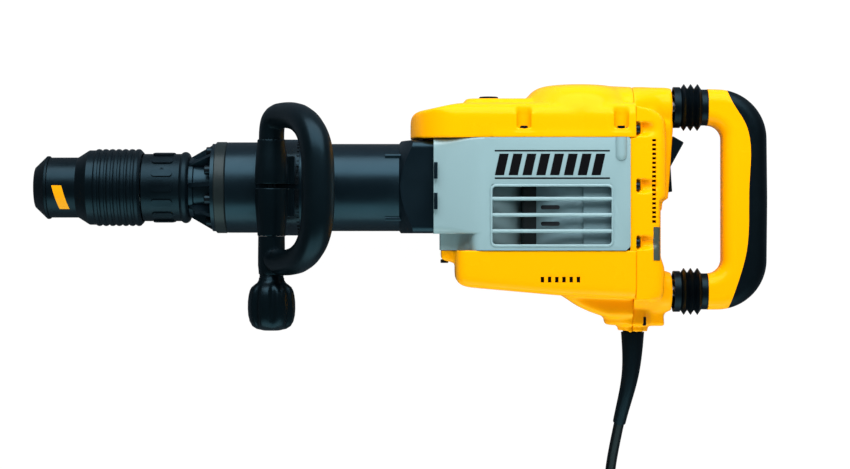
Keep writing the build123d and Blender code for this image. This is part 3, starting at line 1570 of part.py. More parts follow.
with BuildPart() as housing_screws:
    for y in rear_screw_y:
        for side in (1, -1):
            with BuildSketch(Plane.YZ.offset(cover_seam)):
                with Locations((y, side * rear_screw_z)):
                    Circle(screw_head_r)
            extrude(amount=3)
            with BuildSketch(Plane.YZ.offset(cover_seam)):
                with Locations((y, side * rear_screw_z)):
                    Circle(screw_r)
            extrude(amount=-screw_length)
housing_screws.part.label = "housing_screws"
export_step(housing_screws.part, "parts/housing_screws.step")

with BuildPart() as rocker:
    with BuildSketch(Plane.XY):
        with BuildLine():
            x0, y0 = rocker_pivot
            thumb = Polyline(
                (x0, y0 + 23.5),
                (x0 + 8.5, y0 + 26),
                (x0 + 17.7, y0 + 20.8),
                (x0 + 6.2, y0),
                (x0 + 7.6, y0 - 21.5),
                (x0 + 3.6, y0 - 22.4),
                (x0 - 1, y0 - 20),
                (x0 - 4, y0),
                (x0, y0 + 23.5),
            )
        make_face()
    extrude(amount=rocker_half_width, both=True)
    fillet(rocker.edges().filter_by(Axis.Z).filter_by_position(
        Axis.X, x0 + 17, x0 + 18), 1.2)
    with BuildSketch(Plane.XY):
        with Locations(rocker_pivot):
            Circle(rocker_pin_r + running)
    extrude(amount=rocker_half_width, both=True, mode=Mode.SUBTRACT)
rocker.part.label = "rocker"
export_step(rocker.part, "parts/rocker.step")

with BuildPart() as rocker_pin:
    with BuildSketch(Plane.XY):
        with Locations(rocker_pivot):
            Circle(rocker_pin_r)
    extrude(amount=rocker_pin_length / 2, both=True)
rocker_pin.part.label = "rocker_pin"
export_step(rocker_pin.part, "parts/rocker_pin.step")

switch_half_width = 12.0
switch_start = cover_seam + apart
with BuildPart() as switch_body:
    with BuildSketch(Plane.XY):
        with Locations(((switch_start + rocker_floor - 0.6) / 2, (rocker_top + rocker_low) / 2)):
            Rectangle(rocker_floor - 0.6 - switch_start, rocker_top - rocker_low - 6)
    extrude(amount=switch_half_width, both=True)
    # flanges that clip against the rear wall
    for side in (1, -1):
        with BuildSketch(Plane.XY.offset(side * switch_half_width)):
            with Locations((rear_inner_x - 5, (rocker_top + rocker_low) / 2)):
                Rectangle(10, rocker_top - rocker_low - 16)
        extrude(amount=side * 4)
    # terminals
    with BuildSketch(Plane.YZ.offset(switch_start)):
        with Locations((rocker_top - 14, 6), (rocker_top - 14, -6), (rocker_low + 14, 6)):
            Rectangle(6, 1)
    extrude(amount=-2.5)
switch_body.part.label = "switch_body"
export_step(switch_body.part, "parts/switch_body.step")

with BuildPart() as speed_controller:
    with BuildSketch(Plane.YZ.offset(case_rear)):
        with Locations((-31, 0)):
            RectangleRounded(34, 60, 3)
    extrude(amount=16)
    with BuildSketch(Plane.YZ.offset(case_rear + 16)):
        with Locations((-31, 0)):
            with GridLocations(0, 12, 1, 4):
                Rectangle(22, 3)
    extrude(amount=6)
speed_controller.part.label = "speed_controller"
export_step(speed_controller.part, "parts/speed_controller.step")

# ======================================= Rear handle ==========================================

handle_start = arm_end + bellows_length
with BuildPart() as handle_body:
    with BuildSketch(Plane.XY):
        with BuildLine():
            back = FilletPolyline(
                (handle_start, upper_arm_y + handle_arm_r),
                (handle_start + handle_depth - 1, upper_arm_y + handle_arm_r - 1.5),
                (handle_start + handle_depth, (upper_arm_y + lower_arm_y) / 2),
                (handle_start + handle_depth - 1, lower_arm_y - handle_arm_r + 0.5),
                (handle_start, lower_arm_y - handle_arm_r),
                radius=(handle_corner_r, 12 * handle_corner_r, handle_corner_r),
            )
            Line(back @ 1, (handle_start, lower_arm_y + handle_arm_r))
            FilletPolyline(
                (handle_start, lower_arm_y + handle_arm_r),
                (handle_start + handle_web, lower_arm_y + handle_arm_r),
                (handle_start + handle_web, upper_arm_y - handle_arm_r),
                (handle_start, upper_arm_y - handle_arm_r),
                radius=handle_web - 0.4,
            )
            Line((handle_start, upper_arm_y - handle_arm_r), back @ 0)
        make_face()
    extrude(amount=handle_half_depth, both=True)
    long_edges = handle_body.edges().filter_by(
        lambda edge: abs(abs(edge.center().Z) - handle_half_depth) < 0.1
        and edge.center().X > handle_start + 0.5
    )
    fillet(long_edges, handle_round)

with BuildPart() as grip_zone:
    with BuildSketch(Plane.XY):
        with BuildLine():
            split_line = Spline(
                (handle_start + 15.8, 88),
                (handle_start + 20, 73.5),
                (handle_start + 30.6, 56),
                (handle_start + 34.6, 2),
                (handle_start + 32, -56),
                (handle_start + 23.5, -86),
                (handle_start + 15.8, -108),
            )
            Polyline(
                split_line @ 1, (handle_start + 80, -108), (handle_start + 80, 88),
                split_line @ 0,
            )
        make_face()
    extrude(amount=handle_half_depth + 1, both=True)

with BuildPart() as handle_grip:
    add(handle_body.part)
    add(grip_zone.part, mode=Mode.INTERSECT)
handle_grip.part.label = "handle_grip"
export_step(handle_grip.part, "parts/handle_grip.step")

with BuildPart() as handle_frame:
    add(handle_body.part)
    add(grip_zone.part, mode=Mode.SUBTRACT)
    with BuildSketch(Plane.YZ.offset(handle_start - 1)):
        with Locations((upper_arm_y, 0), (lower_arm_y, 0)):
            Circle(guide_pin_r + seat_play)
    extrude(amount=guide_pin_grip + 1, mode=Mode.SUBTRACT)
handle_frame.part.label = "handle_frame"
export_step(handle_frame.part, "parts/handle_frame.step")

with BuildPart() as handle_pins:
    with BuildSketch(Plane.YZ.offset(guide_wall_start + handle_travel + 1)):
        with Locations((upper_arm_y, 0), (lower_arm_y, 0)):
            Circle(guide_pin_r)
    extrude(amount=handle_start + guide_pin_grip - guide_wall_start - handle_travel - 1)
    chamfer(handle_pins.edges().filter_by(GeomType.CIRCLE), 0.8)
handle_pins.part.label = "handle_pins"
export_step(handle_pins.part, "parts/handle_pins.step")

with BuildPart() as handle_springs:
    spring_room = handle_start - guide_wall_end - handle_spring_wire - 2 * apart
    for y in (upper_arm_y, lower_arm_y):
        with BuildLine() as coils:
            Helix(
                spring_room / handle_spring_turns, spring_room, handle_spring_r,
                center=(guide_wall_end + handle_spring_wire / 2 + apart, y, 0),
                direction=(1, 0, 0),
            )
        with BuildSketch(Plane(origin=coils.line @ 0, z_dir=coils.line % 0)):
            Circle(handle_spring_wire / 2)
        sweep(path=coils.line)
handle_springs.part.label = "handle_springs"
export_step(handle_springs.part, "parts/handle_springs.step")


def bellows_line(offset):
    """Half profile of a bellows as points along X, drawn offset below its outer line."""
    points = [(0, arm_r), (bellows_collar, arm_r)]
    for k in range(bellows_folds):
        valley_x = bellows_collar + (k + 0.12) * bellows_pitch
        points.append((valley_x, bellows_valley_r))
        points.append((valley_x + bellows_pitch / 2, bellows_peak_r))
    points.append((bellows_collar + (bellows_folds + 0.1) * bellows_pitch, bellows_valley_r))
    points.append((bellows_length - bellows_collar - 1, handle_arm_r))
    points.append((bellows_length, handle_arm_r))
    return [(arm_end + x, r - offset) for x, r in points]


with BuildPart() as handle_bellows:
    for y in (upper_arm_y, lower_arm_y):
        with BuildSketch(Plane.XY):
            with Locations((0, y)):
                Polygon(*bellows_line(0), *reversed(bellows_line(bellows_wall)), align=None)
        revolve(axis=Axis((0, y, 0), (1, 0, 0)))
handle_bellows.part.label = "handle_bellows"
export_step(handle_bellows.part, "parts/handle_bellows.step")

# ======================================= Side handle ==========================================

strap_r = barrel_r + apart
strap_outer_r = strap_r + strap_thickness
strap_start = strap_x - strap_width / 2
with BuildPart() as clamp_strap:
    with BuildSketch(Plane.YZ.offset(strap_start)):
        Circle(strap_outer_r)
        Circle(strap_r, mode=Mode.SUBTRACT)
        # the strap is open between the jaws
        with Locations((0, strap_outer_r)):
            Rectangle(jaw_split, 3 * strap_thickness, mode=Mode.SUBTRACT)
    extrude(amount=strap_width)
    # fine teeth round both rims
    with BuildSketch(Plane.YZ.offset(strap_start)):
        with PolarLocations(strap_outer_r, strap_teeth):
            Rectangle(1.6, 3.4)
    extrude(amount=2.2, mode=Mode.SUBTRACT)
    with BuildSketch(Plane.YZ.offset(strap_start + strap_width)):
        with PolarLocations(strap_outer_r, strap_teeth):
            Rectangle(1.6, 3.4)
    extrude(amount=-2.2, mode=Mode.SUBTRACT)
clamp_strap.part.label = "clamp_strap"
export_step(clamp_strap.part, "parts/clamp_strap.step")

for jaw_name, jaw_end, side in (("upper", jaw_top, 1), ("lower", jaw_bottom, -1)):
    with BuildPart() as clamp_jaw:
        with BuildSketch(Plane.ZX.offset(side * jaw_split / 2)):
            with Locations((bar_z, bar_x)):
                Circle(jaw_r)
        extrude(amount=jaw_end - side * jaw_split / 2)
        # saddle that sits on the strap
        with BuildSketch(Plane.ZX.offset(side * jaw_split / 2)):
            with Locations((bar_z - jaw_r - 2, strap_x)):
                Rectangle(2 * jaw_r - 6, strap_width - 6)
        extrude(amount=side * saddle_length)
        with BuildSketch(Plane.YZ.offset(strap_start - 10)):
            Circle(strap_outer_r + seat_play)
        extrude(amount=strap_width + 30, mode=Mode.SUBTRACT)
        # radial teeth on the outer end lock the tilt of the handle
        with BuildSketch(Plane.ZX.offset(jaw_end)):
            with Locations((bar_z, bar_x)):
                with PolarLocations(jaw_r, lock_teeth):
                    Rectangle(jaw_r, 1.2)
        extrude(amount=-side * 1.2, mode=Mode.SUBTRACT)
        with BuildSketch(Plane.ZX.offset(side * jaw_split / 2)):
            with Locations((bar_z, bar_x)):
                Circle(clamp_bolt_r + apart)
        extrude(amount=jaw_end - side * jaw_split / 2, mode=Mode.SUBTRACT)
    clamp_jaw.part.label = f"{jaw_name}_clamp_jaw"
    export_step(clamp_jaw.part, f"parts/{jaw_name}_clamp_jaw.step")

# the loop lies in a plane through the bar, tilted up from the hammer axis
loop_plane = Plane(
    origin=(bar_x, 0, bar_z),
    x_dir=(0, 1, 0),
    z_dir=(-sin(radians(loop_tilt)), 0, cos(radians(loop_tilt))),
)
loop_in = loop_arm / 2
with BuildPart() as side_handle_loop:
    with BuildSketch(loop_plane):
        with BuildLine():
            outer = FilletPolyline(
                (loop_top, loop_in),
                (loop_top, -loop_reach - loop_grip / 2),
                (loop_bottom, -loop_reach - loop_grip / 2),
                (loop_bottom, loop_in),
                radius=52,
            )
            Line(outer @ 1, outer @ 0)
        make_face()
        with BuildLine():
            inner = FilletPolyline(
                (loop_top - loop_arm, loop_in),
                (loop_top - loop_arm, -loop_reach + loop_grip / 2),
                (loop_bottom + loop_arm, -loop_reach + loop_grip / 2),
                (loop_bottom + loop_arm, loop_in),
                radius=20,
            )
            Line(inner @ 1, inner @ 0)
        make_face(mode=Mode.SUBTRACT)
    extrude(amount=loop_half_depth, both=True)
    fillet(side_handle_loop.edges().filter_by(
        lambda edge: abs(abs(loop_plane.to_local_coords(edge.center()).Z) - loop_half_depth) < 0.1
    ), loop_round)
    # round ends that meet the jaws
    for start, length in (
        (jaw_top + apart, loop_top - loop_arm / 2 - jaw_top - apart),
        (jaw_bottom - apart, loop_bottom + loop_arm / 2 - jaw_bottom + apart),
    ):
        with BuildSketch(Plane.ZX.offset(start)):
            with Locations((bar_z, bar_x)):
                Circle(loop_arm / 2 + 0.4)
        extrude(amount=length)
    with BuildSketch(Plane.ZX.offset(loop_bottom - 4)):
        with Locations((bar_z, bar_x)):
            Circle(clamp_bolt_r + seat_play)
    extrude(amount=bolt_top - loop_bottom + 4, mode=Mode.SUBTRACT)
side_handle_loop.part.label = "side_handle_loop"
export_step(side_handle_loop.part, "parts/side_handle_loop.step")

with BuildPart() as clamp_bolt:
    with BuildSketch(Plane.ZX.offset(bolt_top)):
        with Locations((bar_z, bar_x)):
            Circle(clamp_bolt_r)
    extrude(amount=neck_end - 18 - bolt_top)
clamp_bolt.part.label = "clamp_bolt"
export_step(clamp_bolt.part, "parts/clamp_bolt.step")

with BuildPart() as clamp_knob:
    with BuildSketch(Plane.XY.offset(bar_z)):
        with BuildLine():
            waist = Polyline(
                (bar_x, loop_bottom - apart),
                (bar_x + neck_r, loop_bottom - apart),
                (bar_x + neck_r, neck_end + 3),
            )
            shoulder = Spline(
                waist @ 1,
                (bar_x + neck_r + 1.5, neck_end),
                (bar_x + knob_r - 1.5, neck_end - 2.5),
                (bar_x + knob_r, neck_end - 9),
                (bar_x + knob_r - 1, knob_end + 10),
                (bar_x + knob_r - 5, knob_end + 4),
                tangents=((0, -1), (-1, -1)),
            )
            domed_end = Spline(
                shoulder @ 1, (bar_x, knob_end), tangents=((-1, -0.8), (-1, 0))
            )
            Line(domed_end @ 1, waist @ 0)
        make_face()
    revolve(axis=Axis((bar_x, 0, bar_z), (0, 1, 0)))
    # finger flutes
    for k in range(knob_flutes):
        turn = radians(k * 360 / knob_flutes)
        with BuildSketch(Plane.ZX.offset(knob_end - 1)):
            with Locations((bar_z + (knob_r + 3.2) * cos(turn), bar_x + (knob_r + 3.2) * sin(turn))):
                Circle(5.2)
        extrude(amount=neck_end - knob_end - 7, mode=Mode.SUBTRACT)
    with BuildSketch(Plane.ZX.offset(loop_bottom + 1)):
        with Locations((bar_z, bar_x)):
            Circle(clamp_bolt_r + running)
    extrude(amount=neck_end - 18 - apart - loop_bottom - 1, mode=Mode.SUBTRACT)
clamp_knob.part.label = "clamp_knob"
export_step(clamp_knob.part, "parts/clamp_knob.step")

# ======================================= Mains cord ===========================================

guard_start = (guard_x, boss_bottom, 0)
guard_bend = (guard_x - 2, boss_bottom - 38, -2)
with BuildPart() as cord_guard:
    with BuildSketch(Plane.ZX.offset(guard_root)):
        with Locations((0, guard_x)):
            Circle(guard_collar_r)
    extrude(amount=boss_bottom - guard_root + 4)
    with BuildSketch(Plane.ZX.offset(boss_bottom + 4)):
        with Locations((0, guard_x)):
            Circle(guard_r - 1.5)
    extrude(amount=-4)
    with BuildLine():
        guard_path = Spline(guard_start, guard_bend, guard_tip, tangents=((0, -1, 0), guard_aim))
    with BuildSketch(Plane(origin=guard_path @ 0, z_dir=guard_path % 0)):
        Circle(guard_r)
    with BuildSketch(Plane(origin=guard_path @ 0.5, z_dir=guard_path % 0.5)):
        Circle((guard_r + guard_tip_r) / 2 - 0.6)
    with BuildSketch(Plane(origin=guard_path @ 1, z_dir=guard_path % 1)):
        Circle(guard_tip_r)
    sweep(path=guard_path, multisection=True)
cord_guard.part.label = "cord_guard"
export_step(cord_guard.part, "parts/cord_guard.step")

floor_z = -case_half_width
cord_low = floor_z + cord_r
coil_outer_r = coil_mid_r + coil_columns * cord_r
route = [
    guard_tip,
    (502.0, -226.5, -28.5),
    (499.6, -249.0, -42.0),
    (498.2, -273.0, cord_low),
    (coil_x + coil_outer_r - cord_r + 0.4, -298.0, cord_low),
    (coil_x + coil_outer_r - cord_r, -325.0, cord_low),
]


def bend_radii(points):
    """The largest arc that each corner of a route allows, 0.45 of its shorter run."""
    radii = []
    for before, corner, after in zip(points, points[1:], points[2:]):
        run_in = Vector(*corner) - Vector(*before)
        run_out = Vector(*after) - Vector(*corner)
        half_turn = radians(run_in.get_angle(run_out)) / 2
        radii.append(0.45 * min(run_in.length, run_out.length) / tan(half_turn))
    return radii


print("cord radii:", [round(radius) for radius in bend_radii(route)])
with BuildPart() as cord_coil:
    with BuildSketch(Plane.XY.offset(floor_z)):
        with Locations((coil_x, coil_y)):
            Circle(coil_outer_r)
            Circle(coil_mid_r - coil_columns * cord_r, mode=Mode.SUBTRACT)
    extrude(amount=coil_rows * 2 * cord_r)
    fillet(cord_coil.edges().filter_by(GeomType.CIRCLE), cord_r - 0.5)
cord_coil.part.label = "cord_coil"
export_step(cord_coil.part, "parts/cord_coil.step")

with BuildPart() as power_cord:
    with BuildLine():
        cord_path = FilletPolyline(*route, radius=bend_radii(route))
    with BuildSketch(Plane(origin=cord_path @ 0, z_dir=cord_path % 0)):
        Circle(cord_r)
    sweep(path=cord_path)
    add(cord_coil.part, mode=Mode.SUBTRACT)
    add(cord_guard.part, mode=Mode.SUBTRACT)
print("turns in the coil:", round((cord_length - cord_path.length) / (2 * pi * coil_mid_r), 1))
power_cord.part.label = "power_cord"
export_step(power_cord.part, "parts/power_cord.step")

# the plug lies where the outermost turn leaves the coil
plug_y = coil_y - coil_outer_r + cord_r
plug_neck_x = coil_x - plug_neck_start
plug_body_x = coil_x - plug_body_start
plug_pins_x = plug_body_x - plug_length
plug_z = floor_z + plug_r
with BuildPart() as plug:
    with BuildSketch(Plane.XY.offset(plug_z)):
        with BuildLine():
            Polyline(
                (plug_neck_x, plug_y),
                (plug_neck_x, plug_y + cord_r + 0.5),
                (plug_body_x, plug_y + cord_r + 2.5),
                (plug_body_x - 4, plug_y + plug_r * 0.72),
                (plug_pins_x + 14, plug_y + plug_r),
                (plug_pins_x, plug_y + plug_r),
                (plug_pins_x, plug_y),
                close=True,
            )
        make_face()
    revolve(axis=Axis((0, plug_y, plug_z), (1, 0, 0)))
    with BuildSketch(Plane.YZ.offset(plug_pins_x)):
        for side in (1, -1):
            with Locations((plug_y + side * plug_pin_spacing / 2, plug_z)):
                Circle(plug_pin_r)
    extrude(amount=-plug_pin_length)
    add(cord_coil.part, mode=Mode.SUBTRACT)
plug.part.label = "plug"
export_step(plug.part, "parts/plug.step")
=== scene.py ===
"""Electric jackhammer lying on its side: finishes, modelled details, lights and camera.

Every length is in metres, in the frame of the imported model: X back along the hammer axis,
Y to the gear side and Z up from the floor.
"""
import json
import math
from collections import namedtuple

import bpy
from mathutils import Matrix, Vector


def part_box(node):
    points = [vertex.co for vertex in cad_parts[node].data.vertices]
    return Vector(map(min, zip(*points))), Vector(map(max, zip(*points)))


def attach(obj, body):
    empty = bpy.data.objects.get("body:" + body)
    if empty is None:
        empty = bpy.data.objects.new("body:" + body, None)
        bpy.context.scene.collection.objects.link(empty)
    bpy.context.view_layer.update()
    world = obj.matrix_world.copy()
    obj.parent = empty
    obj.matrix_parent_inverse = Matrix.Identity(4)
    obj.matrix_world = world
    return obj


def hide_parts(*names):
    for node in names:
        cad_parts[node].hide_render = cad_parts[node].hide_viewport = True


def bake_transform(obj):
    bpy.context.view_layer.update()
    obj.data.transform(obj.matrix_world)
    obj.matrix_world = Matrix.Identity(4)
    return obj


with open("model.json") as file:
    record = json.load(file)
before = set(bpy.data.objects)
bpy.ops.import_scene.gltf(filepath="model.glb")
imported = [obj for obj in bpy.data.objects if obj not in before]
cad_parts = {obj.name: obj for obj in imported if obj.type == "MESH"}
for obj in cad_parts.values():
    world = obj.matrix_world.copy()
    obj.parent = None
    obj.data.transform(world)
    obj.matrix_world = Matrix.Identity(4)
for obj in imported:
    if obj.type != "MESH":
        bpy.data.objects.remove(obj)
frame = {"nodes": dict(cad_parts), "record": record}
bpy.ops.object.select_all(action="DESELECT")
nodes = frame["nodes"]
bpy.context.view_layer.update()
case_low, case_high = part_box("gear_case")
floor_z = case_low[2]
near_face = case_high[2]  # the side of the gear case that faces up


# ------------------------------------------------------------------ Shader effects used by many finishes


def new_group(name, inputs, outputs):
    """An empty shader group with float sockets, and its input and output nodes."""
    group = bpy.data.node_groups.new(name, "ShaderNodeTree")
    for socket, default in inputs:
        made = group.interface.new_socket(socket, in_out="INPUT", socket_type="NodeSocketFloat")
        made.default_value = default
    for socket, kind in outputs:
        group.interface.new_socket(socket, in_out="OUTPUT", socket_type=kind)
    return group, group.nodes.new("NodeGroupInput"), group.nodes.new("NodeGroupOutput")


def object_noise(tree, scale_from, detail, roughness=0.5):
    """Noise on object coordinates. scale_from is a socket, or a number of waves per metre."""
    place = tree.nodes.new("ShaderNodeTexCoord")
    noise = tree.nodes.new("ShaderNodeTexNoise")
    noise.inputs["Detail"].default_value = detail
    noise.inputs["Roughness"].default_value = roughness
    tree.links.new(place.outputs["Object"], noise.inputs["Vector"])
    if isinstance(scale_from, (int, float)):
        noise.inputs["Scale"].default_value = scale_from
    else:
        tree.links.new(scale_from, noise.inputs["Scale"])
    return noise


def value_range(tree, value, low_in, high_in, low_out, high_out):
    """A Map Range node from value. The output limits may be sockets."""
    node = tree.nodes.new("ShaderNodeMapRange")
    node.interpolation_type = "SMOOTHERSTEP"
    tree.links.new(value, node.inputs["Value"])
    node.inputs["From Min"].default_value = low_in
    node.inputs["From Max"].default_value = high_in
    for name, limit in (("To Min", low_out), ("To Max", high_out)):
        if isinstance(limit, (int, float)):
            node.inputs[name].default_value = limit
        else:
            tree.links.new(limit, node.inputs[name])
    return node


def build_surface_grain():
    """Fine moulded or cast texture: a height for a bump, and a mask of slightly duller patches."""
    group, given, made = new_group(
        "surface_grain",
        [("Grain Scale", 900.0), ("Patch Scale", 26.0), ("Dull", 0.35), ("Bright", 0.25)],
        [("Height", "NodeSocketFloat"), ("Roughness", "NodeSocketFloat")],
    )
    grain = object_noise(group, given.outputs["Grain Scale"], 3.0, 0.6)
    patches = object_noise(group, given.outputs["Patch Scale"], 4.0, 0.55)
    dulling = value_range(group, patches.outputs["Fac"], 0.35, 0.7,
                          given.outputs["Bright"], given.outputs["Dull"])
    group.links.new(grain.outputs["Fac"], made.inputs["Height"])
    group.links.new(dulling.outputs["Result"], made.inputs["Roughness"])
    return group


surface_grain = build_surface_grain()


# ------------------------------------------------------------------ Finishes


def new_finish(name, color, metallic=0.0, coat=0.0, coat_roughness=0.05, specular=0.5,
               sheen_color=(1.0, 1.0, 1.0)):
    """A material with a Principled shader. Returns the material, its tree and the shader."""
    material = bpy.data.materials.new(name)
    material.use_nodes = True
    material.diffuse_color = (*color, 1.0)
    tree = material.node_tree
    shader = tree.nodes["Principled BSDF"]
    shader.inputs["Base Color"].default_value = (*color, 1.0)
    shader.inputs["Metallic"].default_value = metallic
    shader.inputs["Coat Weight"].default_value = coat
    shader.inputs["Coat Roughness"].default_value = coat_roughness
    shader.inputs["Specular IOR Level"].default_value = specular
    shader.inputs["Specular Tint"].default_value = (*sheen_color, 1.0)
    return material, tree, shader


def grained_finish(name, color, low, high, grain=900.0, depth=0.00002, patch=26.0, shade=0.12, **more):
    """A finish with grain, uneven gloss between low and high roughness, and mottled colour.

    grain and patch are in waves per metre, depth is the height of the grain in metres and shade is
    how much darker the mottle gets."""
    material, tree, shader = new_finish(name, color, **more)
    effect = tree.nodes.new("ShaderNodeGroup")
    effect.node_tree = surface_grain
    effect.inputs["Grain Scale"].default_value = grain
    effect.inputs["Patch Scale"].default_value = patch
    effect.inputs["Bright"].default_value = low
    effect.inputs["Dull"].default_value = high
    tree.links.new(effect.outputs["Roughness"], shader.inputs["Roughness"])
    bump = tree.nodes.new("ShaderNodeBump")
    bump.inputs["Distance"].default_value = depth
    bump.inputs["Strength"].default_value = 1.0
    tree.links.new(effect.outputs["Height"], bump.inputs["Height"])
    tree.links.new(bump.outputs["Normal"], shader.inputs["Normal"])
    mottle = object_noise(tree, patch * 0.6, 3.0)
    mix = tree.nodes.new("ShaderNodeMix")
    mix.data_type = "RGBA"
    mix.inputs["A"].default_value = (*color, 1.0)
    mix.inputs["B"].default_value = (*[c * (1 - shade) for c in color], 1.0)
    tree.links.new(mottle.outputs["Fac"], mix.inputs["Factor"])
    tree.links.new(mix.outputs["Result"], shader.inputs["Base Color"])
    return material


blue_sheen = (0.37, 0.75, 1.0)

yellow_moulding = grained_finish("yellow_moulding", (1.0, 0.40, 0.0), 0.2, 0.3, 700, 0.000012,
                                 shade=0.04, coat=0.04, coat_roughness=0.12, specular=0.3,
                                 sheen_color=(1.0, 0.8, 0.15))
yellow_paint = grained_finish("yellow_paint", (1.0, 0.40, 0.0), 0.35, 0.45, 900, 0.00001, specular=0.2)
grey_casting = grained_finish("grey_casting", (0.255, 0.39, 0.42), 0.28, 0.42, 1100, 0.00003,
                              patch=16, shade=0.2, coat=0.15, coat_roughness=0.2)
shroud_sheet = grained_finish("shroud_sheet", (0.20, 0.32, 0.36), 0.35, 0.45, 1100, 0.00002)
plate_green = grained_finish("plate_green", (0.10, 0.13, 0.11), 0.3, 0.4, 2000, 0.00001, metallic=0.5)
# A dark finish that is painted shade, for the block in the gap before the motor shroud
painted_shade_moulding = grained_finish("painted_shade_moulding", (0.012, 0.018, 0.021), 0.4, 0.5)
# Black for the printed marks, and also painted shade for the dark inside of the slot rows
black_print_and_painted_shade = grained_finish("black_print_and_painted_shade", (0.003, 0.003, 0.004), 0.45, 0.55, specular=0.1)
black_casting = grained_finish("black_casting", (0.0012, 0.0035, 0.006), 0.3, 0.38, 1300, 0.00003,
                               shade=0.3, specular=0.72, sheen_color=blue_sheen)
black_moulding = grained_finish("black_moulding", (0.0010, 0.0025, 0.004), 0.3, 0.4, 1500, 0.00003,
                                shade=0.3, specular=0.42, sheen_color=blue_sheen)
handle_moulding = grained_finish("handle_moulding", (0.0010, 0.003, 0.0045), 0.3, 0.4, 1200, 0.00003,
                                 shade=0.3, specular=0.4, sheen_color=blue_sheen)
soft_rubber = grained_finish("soft_rubber", (0.0010, 0.002, 0.003), 0.36, 0.48, 1600, 0.00004,
                             shade=0.3, specular=0.36, sheen_color=blue_sheen)
cord_rubber = grained_finish("cord_rubber", (0.0015, 0.002, 0.0025), 0.36, 0.46, 1800, 0.00003,
                             shade=0.3, specular=0.35, sheen_color=(0.7, 0.9, 1.0))
ground_steel = grained_finish("ground_steel", (0.55, 0.56, 0.58), 0.2, 0.34, 2500, 0.00001, metallic=1.0)
flange_steel = grained_finish("flange_steel", (0.022, 0.034, 0.037), 0.32, 0.45, 2500, 0.00001,
                              metallic=0.6)
blackened_steel = grained_finish("blackened_steel", (0.006, 0.008, 0.010), 0.2, 0.3, 2500, 0.00001,
                                 metallic=0.3, sheen_color=blue_sheen)
cast_alloy = grained_finish("cast_alloy", (0.45, 0.46, 0.48), 0.4, 0.55, 900, 0.00005, metallic=0.9)
laminated_iron = grained_finish("laminated_iron", (0.12, 0.12, 0.13), 0.4, 0.5, 2000, 0.00002,
                                metallic=0.8)
winding_copper = grained_finish("winding_copper", (0.5, 0.17, 0.05), 0.25, 0.35, 2000, 0.00004,
                                metallic=0.8)
brush_brass = grained_finish("brush_brass", (0.6, 0.42, 0.15), 0.25, 0.35, 2000, 0.00001, metallic=1.0)
brush_carbon = grained_finish("brush_carbon", (0.02, 0.02, 0.021), 0.5, 0.6)

finish_of_slot = {
    "steel": ground_steel,
    "bearing_steel": ground_steel,
    "bolt_steel": blackened_steel,
    "strap_steel": blackened_steel,
    "flange_steel": flange_steel,
    "forged_alloy": cast_alloy,
    "grey_casting": grey_casting,
    "shroud_alloy": shroud_sheet,
    "black_casting": black_casting,
    "yellow_plastic": yellow_moulding,
    "black_plastic": black_moulding,
    "handle_plastic": handle_moulding,
    "fan_plastic": black_moulding,
    "black_rubber": soft_rubber,
    "seal_rubber": soft_rubber,
    "cord_rubber": cord_rubber,
    "laminations": laminated_iron,
    "copper": winding_copper,
    "brush_brass": brush_brass,
    "carbon": brush_carbon,
}
for entry in frame["record"]["subparts"]:
    node_materials = nodes[entry["node"]].data.materials
    node_materials.clear()
    node_materials.append(finish_of_slot[entry["material_slot"]])
nodes["clamp_bolt"].data.materials[0] = blackened_steel


# ------------------------------------------------------------------ Ways of making pieces

weld_gap = 0.000004  # points that lie nearer than this become one


def middle_of(node):
    """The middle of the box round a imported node."""
    return [(a + b) / 2 for a, b in zip(*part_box(node))]


def link_piece(name, data):
    """A new object for a mesh or a curve, selected and active."""
    piece = bpy.data.objects.new(name, data)
    bpy.context.scene.collection.objects.link(piece)
    bpy.ops.object.select_all(action="DESELECT")
    piece.select_set(True)
    bpy.context.view_layer.objects.active = piece
    return piece


def finish_piece(name, finish, body, smooth=35):
    """Names the active object, fixes its place in its mesh and gives it a finish and a body.

    smooth is the angle in degrees past which an edge stays sharp, or 0 for flat faces. A piece that
    stretches between two bodies has no body of its own."""
    piece = bpy.context.object
    bpy.ops.object.select_all(action="DESELECT")
    piece.select_set(True)
    bpy.ops.object.transform_apply(location=True, rotation=True, scale=True)
    if smooth:
        bpy.ops.object.shade_smooth_by_angle(angle=math.radians(smooth))
    piece.name = name
    piece.data.name = name
    piece.data.materials.clear()
    piece.data.materials.append(finish)
    if body:
        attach(piece, body)
    piece.select_set(False)
    return piece


def apply_modifier(kind, **settings):
    """Adds a modifier to the active object, sets it and applies it."""
    piece = bpy.context.object
    modifier = piece.modifiers.new(kind.lower(), kind)
    for key, value in settings.items():
        setattr(modifier, key, value)
    bpy.ops.object.modifier_apply(modifier=modifier.name)


def add_block(low, high, rounding=0.0):
    """A box between two corners, with its edges rounded."""
    centre = [(a + b) / 2 for a, b in zip(low, high)]
    bpy.ops.mesh.primitive_cube_add(size=1.0, location=centre)
    bpy.context.object.scale = [b - a for a, b in zip(low, high)]
    bpy.ops.object.transform_apply(location=False, rotation=False, scale=True)
    if rounding:
        apply_modifier("BEVEL", width=rounding, segments=3)


def add_rod(start, end, radius, end_rounding):
    """A round rod between two points, with rounded ends."""
    start, end = Vector(start), Vector(end)
    bpy.ops.mesh.primitive_cylinder_add(vertices=24, radius=radius, depth=(end - start).length,
                                        location=(start + end) / 2)
    bpy.context.object.rotation_euler = (end - start).to_track_quat("Z", "Y").to_euler()
    apply_modifier("BEVEL", width=end_rounding, segments=4, limit_method="ANGLE")


def add_turned(profile, centre):
    """A piece turned about a line along Y: profile is (radius, place along Y) points."""
    mesh = bpy.data.meshes.new("turned")
    points = [(radius, y, 0.0) for radius, y in profile]
    mesh.from_pydata(points, [(k, k + 1) for k in range(len(points) - 1)], [])
    piece = link_piece("turned", mesh)
    piece.location = centre
    steps = 48
    apply_modifier("SCREW", axis="Y", steps=steps, render_steps=steps, use_merge_vertices=True,
                   merge_threshold=0.000001, use_normal_calculate=True)


